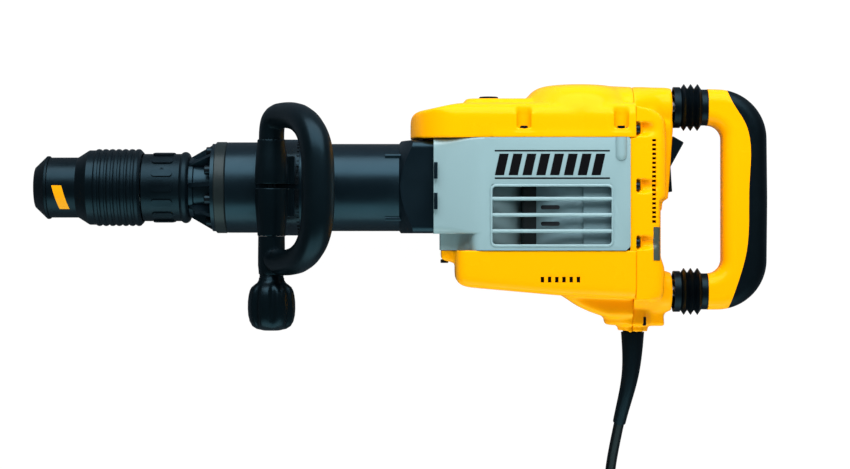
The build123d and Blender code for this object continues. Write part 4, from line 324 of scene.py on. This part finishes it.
def new_path(name, points, radius, order=None, closed=False, shares=None, rings=8, steps=10):
    """A round curve along points: straight between them or, with an order, a smooth spline.

    shares, if given, are shares of radius at each point."""
    line = bpy.data.curves.new(name, "CURVE")
    line.dimensions = "3D"
    line.bevel_depth = radius
    line.bevel_resolution = rings
    line.resolution_u = steps
    line.use_fill_caps = not closed
    spline = line.splines.new("NURBS" if order else "POLY")
    spline.points.add(len(points) - 1)
    for point, place, share in zip(spline.points, points, shares or [1.0] * len(points)):
        point.co = (*place, 1.0)
        point.radius = share
    if order:
        spline.order_u = order
        spline.use_endpoint_u = True
    spline.use_cyclic_u = closed
    return link_piece(name, line)


def add_tube(points, radius, **settings):
    """A round tube along points, with the settings of new_path."""
    new_path("tube", points, radius, **settings)
    bpy.ops.object.convert(target="MESH")


def add_sheet(points, columns, thickness):
    """A thin sheet through rows of points."""
    rows = len(points) // columns
    faces = [(r * columns + c, (r + 1) * columns + c, (r + 1) * columns + c + 1, r * columns + c + 1)
             for r in range(rows - 1) for c in range(columns - 1)]
    mesh = bpy.data.meshes.new("sheet")
    mesh.from_pydata(points, [], faces)
    link_piece("sheet", mesh)
    apply_modifier("SOLIDIFY", thickness=thickness, offset=0.0)


def add_whole_copy(node):
    """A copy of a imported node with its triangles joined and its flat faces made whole."""
    link_piece(node + "_copy", nodes[node].data.copy())
    bpy.ops.object.mode_set(mode="EDIT")
    bpy.ops.mesh.select_all(action="SELECT")
    bpy.ops.mesh.customdata_custom_splitnormals_clear()
    bpy.ops.mesh.remove_doubles(threshold=weld_gap)
    bpy.ops.mesh.dissolve_limited(angle_limit=math.radians(0.5))
    bpy.ops.object.mode_set(mode="OBJECT")


def add_voxel_copy(node, voxel):
    """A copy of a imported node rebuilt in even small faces, ready to be shaped and smoothed."""
    add_whole_copy(node)
    apply_modifier("REMESH", mode="VOXEL", voxel_size=voxel)


def in_box(place, low, high):
    """True where the place lies between two corners."""
    return all(low[k] <= place[k] <= high[k] for k in range(3))


def outside(boxes):
    """A weight for apply_smoothing: 0 inside any of the boxes, which stay crisp, and 1 elsewhere."""
    return lambda place: 0.0 if any(in_box(place, *box) for box in boxes) else 1.0


def apply_smoothing(passes, weight_of=outside([])):
    """Smooths the active mesh, by weight_of(place) at each vertex."""
    piece = bpy.context.object
    group = piece.vertex_groups.new(name="smoothed")
    for vertex in piece.data.vertices:
        weight = weight_of(vertex.co)
        if weight > 0:
            group.add([vertex.index], weight, "REPLACE")
    apply_modifier("SMOOTH", factor=0.5, iterations=passes, vertex_group="smoothed")
    piece.vertex_groups.clear()


def ramp(value, start, run):
    """From 0 at start to 1 a run further on, with soft ends. A run below zero rises the other way."""
    share = min(max((value - start) / run, 0.0), 1.0)
    return share * share * (3 - 2 * share)


def skin_height(skin, x, y):
    """The height of the near side of a skin at a place."""
    above = 0.2
    return skin.ray_cast(Vector((x, y, above)), Vector((0.0, 0.0, -1.0)))[1].z


def on_round(x, radius, turn):
    """A place on a round body about the hammer axis, at a turn from its near side."""
    return (x, radius * math.sin(turn), radius * math.cos(turn))


# ------------------------------------------------------------------ Rows of air slots

# The place of the first slot, the step to the next, how many there are, the size of an opening, how far
# the trench runs past the row, how deep the slots look, and where beside a slot the skin is measured
SlotRow = namedtuple("SlotRow", "first step count opening play depth beside")
low_slots = SlotRow(first=(0.4349, -0.0786), step=(0.00605, 0.0), count=6, opening=(0.0030, 0.0048),
                    play=0.0, depth=0.0025, beside=(0.0, 0.0041))
rear_slots = SlotRow(first=(0.52905, 0.0388), step=(0.0, -0.0038), count=19, opening=(0.0033, 0.0021),
                     play=0.00005, depth=0.0020, beside=(-0.00285, 0.0))


def row_reach(row, play):
    """The lowest and the highest X and Y of a row of openings, with play at its ends."""
    low, high = [], []
    for first, step, size in zip(row.first, row.step, row.opening):
        last = first + step * (row.count - 1)
        past = play if step else 0.0
        low.append(min(first, last) - size / 2 - past)
        high.append(max(first, last) + size / 2 + past)
    return low, high


def heights_along(row):
    """The height of the active skin beside each opening of a row."""
    skin = bpy.context.object
    x, y = [first + beside for first, beside in zip(row.first, row.beside)]
    return [skin_height(skin, x + row.step[0] * k, y + row.step[1] * k) for k in range(row.count)]


def cut_trench(row, heights):
    """Cuts the trench of a whole row of openings out of the active skin."""
    trench_depth = 0.004
    above = 0.060
    skin = bpy.context.object
    low, high = row_reach(row, row.play)
    add_block((*low, min(heights) - trench_depth), (*high, above))
    cutter = bpy.context.object
    bpy.context.view_layer.objects.active = skin
    apply_modifier("BOOLEAN", operation="DIFFERENCE", object=cutter, solver="EXACT")
    bpy.data.objects.remove(cutter, do_unlink=True)


def add_slot_row(name, row, heights):
    """A row of openings: a black strip low in the trench, painted shade for the dark inside of the
    openings, with yellow bars across it.
    """
    strip_thickness = 0.0006
    bar_overlap = 0.00005
    bar_sink = 0.0001
    bar_rounding = 0.00015
    floor_height = min(heights) - row.depth
    low, high = row_reach(row, 0.0)
    # The black strip is painted shade: it stands for the dark inside of the openings
    add_block((*low, floor_height - strip_thickness), (*high, floor_height))
    finish_piece(name + "_strip", black_print_and_painted_shade, "housing", smooth=0)
    # A bar is what two openings leave between them, and as wide across the row as they are
    half_x, half_y = [(abs(step) - size if step else size) / 2 for step, size in zip(row.step, row.opening)]
    half_x += bar_overlap
    for k in range(row.count - 1):
        x, y = [first + step * (k + 0.5) for first, step in zip(row.first, row.step)]
        top = (heights[k] + heights[k + 1]) / 2 - bar_sink
        add_block((x - half_x, y - half_y, floor_height), (x + half_x, y + half_y, top), bar_rounding)
        finish_piece(f"{name}_bar_{k + 1}", yellow_moulding, "housing", smooth=0)


# ------------------------------------------------------------------ Yellow mouldings


def across(low_x, low_y, high_x, high_y):
    """A box between two places in X and Y that reaches past both sides of the hammer."""
    past_side = 0.06
    return ((low_x, low_y, -past_side), (high_x, high_y, past_side))


def add_smooth_cover(node, crisp):
    """A smoothed copy of a cover, but for the boxes that stay crisp."""
    add_voxel_copy(node, 0.0011)
    apply_smoothing(45, outside(crisp))
    apply_smoothing(2)
    apply_modifier("DECIMATE", ratio=0.4)


def make_top_cover():
    """The gear side cover. Its screw channels, its dial recess and its joints stay crisp."""
    screw_x, screw_z = (0.4195, 0.5015), (-0.048, 0.048)
    channels = [((x - 0.008, 0.040, z - 0.012), (x + 0.008, 0.062, z + 0.012))
                for x in screw_x for z in screw_z]
    dial_recess = ((0.379, 0.070, -0.012), (0.403, 0.080, 0.012))
    case_joint = across(0.30, 0.040, 0.52, 0.0425)
    rear_joint = across(0.512, 0.040, 0.52, 0.10)
    add_smooth_cover("top_cover", channels + [dial_recess, case_joint, rear_joint])
    cover = finish_piece("top_cover_skin", yellow_moulding, "housing", smooth=50)
    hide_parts("top_cover")


def make_bottom_cover():
    """The cover of the motor side, with its row of small air slots."""
    case_joint = across(0.34, -0.0555, 0.52, -0.053)
    rear_joint = across(0.512, -0.13, 0.52, -0.05)
    add_smooth_cover("bottom_cover", [case_joint, rear_joint])
    heights = heights_along(low_slots)
    cut_trench(low_slots, heights)
    cover = finish_piece("bottom_cover_skin", yellow_moulding, "housing", smooth=50)
    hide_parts("bottom_cover")
    add_slot_row("low_slots", low_slots, heights)


def make_rear_housing():
    """The rear housing; its arms flow out of the wall in wide hollows."""
    add_voxel_copy("rear_housing", 0.0010)
    setback = 0.0046  # of the wall between the arms
    for vertex in bpy.context.object.data.vertices:
        place = vertex.co
        between = ramp(place.y, -0.0095, -0.003) * ramp(place.y, -0.068, 0.008)
        place.x -= setback * between * ramp(place.x, 0.5325, 0.006)
    rocker_well = ((0.531, -0.012, -0.013), (0.552, 0.050, 0.013))
    case_joint = across(0.50, -0.13, 0.511, 0.10)
    screw_y, screw_z = (-0.0473, 0.0037, 0.0519), (-0.046, 0.046)
    screw_wells = [((0.509, y - 0.007, z - 0.010), (0.524, y + 0.007, z + 0.010))
                   for y in screw_y for z in screw_z]

    def arm_root(place):
        """A weight for apply_smoothing: up to 1 where the arms of the handle leave the wall."""
        if in_box(place, *rocker_well):
            return 0.0
        along = ramp(place.x, 0.524, 0.008) * ramp(place.x, 0.556, -0.008)
        upper = ramp(place.y, 0.036, 0.010)
        lower = ramp(place.y, -0.056, -0.010) * ramp(place.y, -0.118, 0.010)
        return along * max(upper, lower)

    apply_smoothing(12, outside([rocker_well, case_joint] + screw_wells))
    apply_smoothing(160, arm_root)
    apply_smoothing(2)
    apply_modifier("DECIMATE", ratio=0.35)
    heights = heights_along(rear_slots)
    cut_trench(rear_slots, heights)
    housing = finish_piece("rear_housing_skin", yellow_moulding, "housing", smooth=50)
    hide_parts("rear_housing")
    add_slot_row("rear_slots", rear_slots, heights)


make_top_cover()
make_bottom_cover()
make_rear_housing()


# ------------------------------------------------------------------ Grey gear case

louvre_y = (-0.0105, -0.0241, -0.0377)
window = ((0.3918, 0.4940), (-0.0500, 0.0008))  # X and Y reach of the rim round the louvres


def make_gear_case():
    """The casting with slightly rounded edges."""
    add_whole_copy("gear_case")
    apply_modifier("BEVEL", width=0.0006, segments=2, limit_method="ANGLE",
                   angle_limit=math.radians(50), harden_normals=False)
    case = finish_piece("gear_case_casting", grey_casting, "housing", smooth=40)
    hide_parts("gear_case")


def make_louvre_rim():
    """A raised rim round the window and a rounded ridge along each bar."""
    (left, right), (low, high) = window
    corner = 0.004
    rim_radius = 0.0011
    points = []
    for x, y, start in ((right - corner, high - corner, 0), (left + corner, high - corner, 90),
                        (left + corner, low + corner, 180), (right - corner, low + corner, 270)):
        for k in range(7):
            turn = math.radians(start + k * 15)
            points.append((x + corner * math.cos(turn), y + corner * math.sin(turn), near_face))
    add_tube(points, rim_radius, closed=True)
    finish_piece("louvre_rim", grey_casting, "housing")
    ridge_radius, ridge_rounding = 0.0016, 0.0012
    ridge_z = near_face - 0.0006
    past_rim = 0.0008
    for k, y in enumerate(louvre_y):
        add_rod((left - past_rim, y, ridge_z), (right + past_rim, y, ridge_z), ridge_radius, ridge_rounding)
        finish_piece(f"louvre_ridge_{k + 1}", grey_casting, "housing")


def make_screw_boss():
    """The round boss beside the rear screw, with a domed end."""
    boss_x, boss_z = 0.5012, near_face - 0.0012
    radius = 0.0049
    top = case_high[1]
    bottom = 0.0265
    dome = [(radius * math.sin(math.radians(t)), bottom - radius * math.cos(math.radians(t)))
            for t in range(0, 91, 15)]
    add_turned(dome + [(radius, top), (0.0, top)], (boss_x, 0.0, boss_z))
    finish_piece("screw_boss", grey_casting, "housing")


def make_name_panel():
    """Two printed lines with a row of slanted bars between them."""
    left, right = 0.3947, 0.4916
    low, high = near_face - 0.0002, near_face + 0.00012
    line_half = 0.00065
    for name, y in (("panel_line_top", 0.0299), ("panel_line_low", 0.0068)):
        add_block((left, y - line_half, low), (right, y + line_half, high))
        finish_piece(name, black_print_and_painted_shade, "housing", smooth=0)
    bars = 8
    slant = 0.004
    bar_width = 0.0078
    bar_foot, bar_top = 0.0093, 0.0274
    pitch = (right - left - slant) / bars
    for k in range(bars):
        bar_left = left + k * pitch
        add_block((bar_left, bar_foot, low), (bar_left + bar_width, bar_top, high))
        for vertex in bpy.context.object.data.vertices:
            if vertex.co.y > 0:  # the upper end of the bar
                vertex.co.x += slant
        finish_piece(f"panel_bar_{k + 1}", black_print_and_painted_shade, "housing", smooth=0)


def make_air_passage():
    """What the louvres show: the motor shroud, the sheet beside it, and a dark block that is painted shade
    for the gap before it.
    """
    lean = math.radians(-9)
    lean_x = 0.462
    add_whole_copy("motor_shroud")
    axis = Matrix.Translation((lean_x, 0.0, 0.0))
    bpy.context.object.data.transform(axis @ Matrix.Rotation(lean, 4, "Y") @ axis.inverted())
    shroud = finish_piece("motor_shroud_sheet", shroud_sheet, "housing")
    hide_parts("motor_shroud")
    foot_y = -0.0525
    add_block((0.4700, foot_y, 0.0424), (0.4955, 0.0330, 0.0430), 0.0002)
    finish_piece("air_baffle", shroud_sheet, "housing")
    # A dark block that paints the shade of the deep gap before the shroud; it stands for no real part
    add_block((0.4190, foot_y, 0.0200), (0.4322, 0.0170, 0.0272), 0.0020)
    finish_piece("painted_shade_block", painted_shade_moulding, "housing")


def make_collar_tabs():
    """The black tabs of the front collar that reach over the grey casting."""
    front, back = 0.3435, 0.3466
    sunk, proud = near_face - 0.004, near_face + 0.0003
    for name, low, high in (("collar_tab_upper", 0.0064, 0.0204), ("collar_tab_lower", -0.0194, -0.0054)):
        add_block((front, low, sunk), (back, high, proud), 0.0004)
        finish_piece(name, black_casting, "housing")


make_gear_case()
make_louvre_rim()
make_screw_boss()
make_name_panel()
make_air_passage()
make_collar_tabs()


# ------------------------------------------------------------------ Side handle

bolt_x, _, bolt_z = middle_of("clamp_bolt")


def make_side_grip():
    """The grip: a round bar bent into a D, thicker where the hand holds it."""
    middle_y = middle_of("side_handle_loop")[1]
    # (reach from the clamp bolt, half span along Y, radius), from one jaw to the middle of the grip
    half = [(0.0, 0.0480, 0.0112), (0.0012, 0.0570, 0.0110), (0.0095, 0.0612, 0.0107),
            (0.0240, 0.0616, 0.0106), (0.0430, 0.0598, 0.0114), (0.0580, 0.0545, 0.0123),
            (0.0705, 0.0452, 0.0131), (0.0780, 0.0320, 0.0137), (0.0800, 0.0170, 0.0140)]
    path = [(0.0, 0.0420, 0.0112)] + half + [(0.0802, 0.0, 0.0140)]
    path += [(out, -y, radius) for out, y, radius in reversed(half)] + [(0.0, -0.0394, 0.0112)]
    bar_radius = 0.0107
    add_tube([(out, middle_y + y, 0.0) for out, y, radius in path], bar_radius, order=4,
             shares=[radius / bar_radius for out, y, radius in path])
    # The bar is drawn lying flat. It is tilted up about the bolt and pressed a little flat.
    tilt = math.radians(58)
    flatness = 0.95
    reach = Vector((math.cos(tilt), 0.0, math.sin(tilt)))
    side = Vector((0.0, 1.0, 0.0))
    depth = reach.cross(side) * flatness
    bpy.context.object.data.transform(Matrix((
        (reach.x, side.x, depth.x, bolt_x),
        (reach.y, side.y, depth.y, 0.0),
        (reach.z, side.z, depth.z, bolt_z),
        (0.0, 0.0, 0.0, 1.0),
    )))
    grip = finish_piece("side_grip", handle_moulding, "side_handle", smooth=60)
    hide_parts("side_handle_loop")


def make_grip_eye():
    """The eye of the grip that the clamp bolt passes through."""
    # (radius, place along Y)
    profile = [(0.0, -0.0421), (0.0112, -0.0421), (0.0114, -0.0590), (0.0114, -0.0665), (0.0110, -0.0700),
               (0.0108, -0.0735), (0.0103, -0.0742), (0.0, -0.0742)]
    add_turned(profile, (bolt_x, 0.0, bolt_z))
    finish_piece("grip_eye", handle_moulding, "side_handle")


def make_clamp_jaws():
    """The clamp jaws, drawn in to a slim barrel shape round the bolt."""
    core, rim = 0.008, 0.0145  # the skin between these reaches from the bolt is drawn in
    taper, swell = 0.14, 0.01
    belly_y = 0.010
    for node, way in (("upper_clamp_jaw", 1), ("lower_clamp_jaw", -1)):
        add_voxel_copy(node, 0.0007)
        for vertex in bpy.context.object.data.vertices:
            place = vertex.co
            along = way * place.y
            if core < math.hypot(place.x - bolt_x, place.z - bolt_z) < rim:
                share = 1.0 - taper * ramp(along, 0.012, 0.030)
                share += swell * (1 - ramp(abs(along - belly_y), 0.0, 0.010))
                place.x = bolt_x + (place.x - bolt_x) * share
                place.z = bolt_z + (place.z - bolt_z) * share
        apply_smoothing(3)
        apply_modifier("DECIMATE", ratio=0.5)
        jaw = finish_piece(node + "_casting", handle_moulding, "side_clamp", smooth=50)
        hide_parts(node)


def make_clamp_knob():
    """The star knob: a rounded barrel with eight flutes on a plain neck."""
    # (radius, place along Y), from the neck to the end
    profile = [(0.0, -0.0743), (0.0099, -0.0743), (0.0101, -0.0748), (0.0101, -0.0765), (0.0106, -0.0772),
               (0.0108, -0.0790), (0.0122, -0.0812), (0.0142, -0.0826), (0.0170, -0.0848),
               (0.0187, -0.0878), (0.0197, -0.0920), (0.0203, -0.0970), (0.0204, -0.1030),
               (0.0200, -0.1085), (0.0188, -0.1135), (0.0164, -0.1175), (0.0125, -0.1199),
               (0.0068, -0.1212), (0.0, -0.1215)]
    around = 96
    flutes = 8
    flute_turn = 0.9
    flute_depth = 0.125  # a share of the radius
    points = []
    for radius, y in profile:
        deep = ramp(y, -0.0815, -0.006) * ramp(y, -0.1200, 0.008)
        for k in range(around):
            turn = 2 * math.pi * k / around
            flute = max(0.0, math.cos(flutes * turn + flute_turn)) ** 1.2
            size = radius * (1 - flute_depth * deep * flute)
            points.append((bolt_x + size * math.cos(turn), y, bolt_z + size * math.sin(turn)))
    rows = len(profile)
    faces = [(r * around + k, r * around + (k + 1) % around, (r + 1) * around + (k + 1) % around,
              (r + 1) * around + k) for r in range(rows - 1) for k in range(around)]
    mesh = bpy.data.meshes.new("knob")
    mesh.from_pydata(points, [], faces)
    link_piece("knob", mesh)
    bpy.ops.object.mode_set(mode="EDIT")
    bpy.ops.mesh.select_all(action="SELECT")
    bpy.ops.mesh.remove_doubles(threshold=weld_gap)
    bpy.ops.mesh.normals_make_consistent(inside=False)
    bpy.ops.object.mode_set(mode="OBJECT")
    knob = finish_piece("star_knob", handle_moulding, "clamp_knob", smooth=50)
    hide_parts("clamp_knob")


make_side_grip()
make_grip_eye()
make_clamp_jaws()
make_clamp_knob()


# ------------------------------------------------------------------ Small parts


def make_rating_plate():
    """A bare plate bent round the rear corner below the air slots."""
    skin = bpy.data.objects["rear_housing_skin"]
    front, width = 0.5285, 0.0056
    top, height = -0.0343, 0.0280
    lift, thickness = 0.0003, 0.0006
    columns, rows = 9, 15
    points = []
    for row in range(rows):
        y = top - height * row / (rows - 1)
        for column in range(columns):
            x = front + width * column / (columns - 1)
            points.append((x, y, skin_height(skin, x, y) + lift))
    add_sheet(points, columns, thickness)
    finish_piece("rating_plate", plate_green, "housing", smooth=60)


def make_dial_cap():
    """The thin raised rim of the speed dial."""
    dial_x, _, dial_z = middle_of("speed_dial")
    dial_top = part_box("speed_dial")[1][1]
    profile = [(0.0, 0.0), (0.0082, 0.0), (0.0084, 0.0008), (0.0076, 0.0016), (0.0, 0.0016)]
    add_turned(profile, (dial_x, dial_top, dial_z))
    finish_piece("dial_cap", black_moulding, "speed_dial")


def make_index_arrow():
    """The arrow on the indexing collar that the chisel positions are read against."""
    middle_x, half_width = 0.1110, 0.0030
    radius = 0.0291
    turn = math.radians(29)
    tip = on_round(middle_x, radius, turn + 0.09)
    for name, step in (("arrow_left", -half_width), ("arrow_right", half_width)):
        add_rod(tip, on_round(middle_x + step, radius, turn - 0.03), 0.0007, 0.0004)
        finish_piece(name, black_moulding, "tool_holder")


def make_sleeve_mark():
    """A plain slanted mark painted on the locking sleeve."""
    radius, thickness = 0.02606, 0.0002
    front, width, slant = 0.0170, 0.0085, 0.0060
    start_turn, sweep = 3, 49  # in degrees
    columns, rows = 5, 9
    points = []
    for row in range(rows):
        along = row / (rows - 1)
        turn = math.radians(start_turn - sweep * along)
        for column in range(columns):
            x = front + width * column / (columns - 1) + slant * along
            points.append(on_round(x, radius, turn))
    add_sheet(points, columns, thickness)
    finish_piece("sleeve_mark", yellow_paint, "lock_sleeve", smooth=40)


def make_lug_screws():
    """Black screw heads under the front tongue and on the lug of the cord boss."""
    tongue_x = 0.3528
    add_rod((tongue_x, -0.0620, 0.0), (tongue_x, -0.0652, 0.0), 0.0034, 0.0006)
    finish_piece("tongue_screw", blackened_steel, "housing")
    lug_x, lug_y = 0.5242, -0.1150
    half_x, half_y = 0.0015, 0.0038
    lug_z = skin_height(bpy.data.objects["rear_housing_skin"], lug_x, lug_y)
    add_block((lug_x - half_x, lug_y - half_y, lug_z - 0.003),
              (lug_x + half_x, lug_y + half_y, lug_z + 0.0008), 0.0006)
    finish_piece("boss_screw", blackened_steel, "housing")


make_rating_plate()
make_dial_cap()
make_index_arrow()
make_sleeve_mark()
make_lug_screws()


# ------------------------------------------------------------------ Springs and bellows


def make_stretching_piece(node, name, finish):
    """A copy of a spring or bellows, the part that closes up between two bodies as one slides; the copy
    gets no body of its own.
    """
    add_whole_copy(node)
    piece = finish_piece(name, finish, None, smooth=40)
    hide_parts(node)
    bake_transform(piece)


make_stretching_piece("handle_bellows", "bellows_rubber", soft_rubber)
make_stretching_piece("handle_springs", "handle_spring_wire", ground_steel)
make_stretching_piece("sleeve_spring", "sleeve_spring_wire", ground_steel)


# ------------------------------------------------------------------ Mains cord

cord_r = 0.0045
cord_route = [
    (0.5055, -0.204, -0.016),
    (0.502, -0.2265, -0.0285),
    (0.4996, -0.249, -0.042),
    (0.4982, -0.273, -0.0475),
    (0.4974, -0.298, -0.0475),
]


def coil_points():
    """The turns of the put-away cord: inward on the floor, outward on top, and one more turn above."""
    low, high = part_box("cord_coil")
    centre_x, centre_y, _ = middle_of("cord_coil")
    outer_turn = (high[0] - low[0]) / 2 - cord_r
    step = 2 * cord_r
    # (turn where a move starts, change of column, change of layer)
    moves = ((0.7, -1, 0), (1.7, -1, 0), (2.4, 0, 1), (3.1, 1, 0), (4.1, 1, 0), (4.8, 0, 1))
    move_run = 0.3  # of a turn
    turns = 6.25
    per_turn = 16
    swell = 1 / math.cos(math.pi / per_turn)  # the spline runs just inside its points
    points = []
    for k in range(int(turns * per_turn) + 1):
        turn = k / per_turn
        radius = outer_turn
        height = floor_z + cord_r
        for start, columns, layers in moves:
            share = ramp(turn, start, move_run)
            radius += columns * step * share
            height += layers * step * share
        angle = -2 * math.pi * turn
        points.append((centre_x + swell * radius * math.cos(angle),
                       centre_y + swell * radius * math.sin(angle), height))
    # The end runs straight out of the last turn and down to the height of the plug
    end_y = centre_y - outer_turn
    plug_low, plug_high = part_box("plug")
    plug_z = floor_z + (plug_high[2] - plug_low[2]) / 2
    for along, z in ((0.018, points[-1][2] - 0.001), (0.036, plug_z + 0.001), (0.052, plug_z)):
        points.append((centre_x - along, end_y, z))
    return points


def make_cord():
    """The cord as one smooth spline, from the guard to the plug."""
    cord = new_path("cord", cord_route + coil_points(), cord_r, order=3, rings=5, steps=6)
    cord.name = "mains_cord"
    cord.data.materials.append(cord_rubber)
    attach(cord, "housing")
    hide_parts("power_cord", "cord_coil")
    return cord


mains_cord = make_cord()


# ------------------------------------------------------------------ Floor, lights and camera


def make_floor():
    """A pale floor, white to the camera and dark where black parts mirror it."""
    white_strength = 1.03
    white_share = 0.96
    bpy.ops.mesh.primitive_plane_add(size=8.0, location=(0.3, 0.0, floor_z))
    floor = bpy.context.object
    floor.name = "floor"
    material = bpy.data.materials.new("pale_floor")
    material.use_nodes = True
    tree = material.node_tree
    paint = tree.nodes["Principled BSDF"]
    paint.inputs["Roughness"].default_value = 0.9
    white = tree.nodes.new("ShaderNodeEmission")
    white.inputs["Strength"].default_value = white_strength
    seen = tree.nodes.new("ShaderNodeLightPath")
    shade = tree.nodes.new("ShaderNodeMix")
    shade.data_type = "RGBA"
    shade.inputs["A"].default_value = (0.86, 0.86, 0.86, 1.0)
    shade.inputs["B"].default_value = (0.08, 0.10, 0.12, 1.0)
    tree.links.new(seen.outputs["Is Glossy Ray"], shade.inputs["Factor"])
    tree.links.new(shade.outputs["Result"], paint.inputs["Base Color"])
    share = tree.nodes.new("ShaderNodeMath")
    share.operation = "MULTIPLY"
    share.inputs[1].default_value = white_share
    tree.links.new(seen.outputs["Is Camera Ray"], share.inputs[0])
    mix = tree.nodes.new("ShaderNodeMixShader")
    tree.links.new(share.outputs["Value"], mix.inputs["Fac"])
    tree.links.new(paint.outputs["BSDF"], mix.inputs[1])
    tree.links.new(white.outputs["Emission"], mix.inputs[2])
    tree.links.new(mix.outputs["Shader"], tree.nodes["Material Output"].inputs["Surface"])
    floor.data.materials.append(material)


def make_softbox(name, place, aim, size, color, power, mirrored=True):
    """A rectangular studio lamp that faces aim. Glossy parts may mirror it or not."""
    lamp = bpy.data.lights.new(name, "AREA")
    lamp.shape = "RECTANGLE"
    lamp.size, lamp.size_y = size
    lamp.color = color
    lamp.energy = power
    softbox = bpy.data.objects.new(name, lamp)
    softbox.location = place
    softbox.rotation_euler = (Vector(aim) - Vector(place)).to_track_quat("-Z", "Y").to_euler()
    softbox.visible_glossy = mirrored
    bpy.context.scene.collection.objects.link(softbox)


def make_world():
    """Even studio light, darker where it is mirrored so that black parts stay black."""
    diffuse_strength = 0.27
    mirrored_strength = 0.09
    world = bpy.data.worlds.new("studio")
    bpy.context.scene.world = world
    world.use_nodes = True
    tree = world.node_tree
    light = tree.nodes["Background"]
    light.inputs["Color"].default_value = (1.0, 1.0, 1.0, 1.0)
    ray = tree.nodes.new("ShaderNodeLightPath")
    strength = tree.nodes.new("ShaderNodeMapRange")
    strength.inputs["To Min"].default_value = diffuse_strength
    strength.inputs["To Max"].default_value = mirrored_strength
    tree.links.new(ray.outputs["Is Glossy Ray"], strength.inputs["Value"])
    tree.links.new(strength.outputs["Result"], light.inputs["Strength"])


def make_camera():
    """The camera looks straight down on the hammer's side."""
    view_centre = (0.336, -0.0406)
    view_distance = 1.9
    view_width = 0.7353
    lens = bpy.data.cameras.new("camera")
    lens.sensor_width = 36.0
    lens.lens = lens.sensor_width * view_distance / view_width
    camera = bpy.data.objects.new("camera", lens)
    camera.location = (*view_centre, view_distance)
    bpy.context.scene.collection.objects.link(camera)
    bpy.context.scene.camera = camera


body_middle = (0.3, 0.0, 0.0)
motor_middle = (0.45, 0.0, 0.0)
make_floor()
make_softbox("upper_softbox", (0.35, 1.15, 0.75), body_middle, (2.2, 1.3), (0.95, 0.98, 1.0), 27)
make_softbox("lower_softbox", (0.3, -1.3, 0.5), body_middle, (2.2, 1.2), (0.72, 1.0, 0.97), 11)
make_softbox("gear_side_fill", (0.5, 0.5, 0.62), motor_middle, (0.8, 0.4), (1.0, 1.0, 1.0), 6.0,
             mirrored=False)
make_softbox("motor_side_fill", (0.45, -0.8, 0.1), motor_middle, (0.8, 0.3), (1.0, 1.0, 1.0), 4.5,
             mirrored=False)
make_world()
make_camera()
bpy.context.scene.view_settings.view_transform = "Standard"
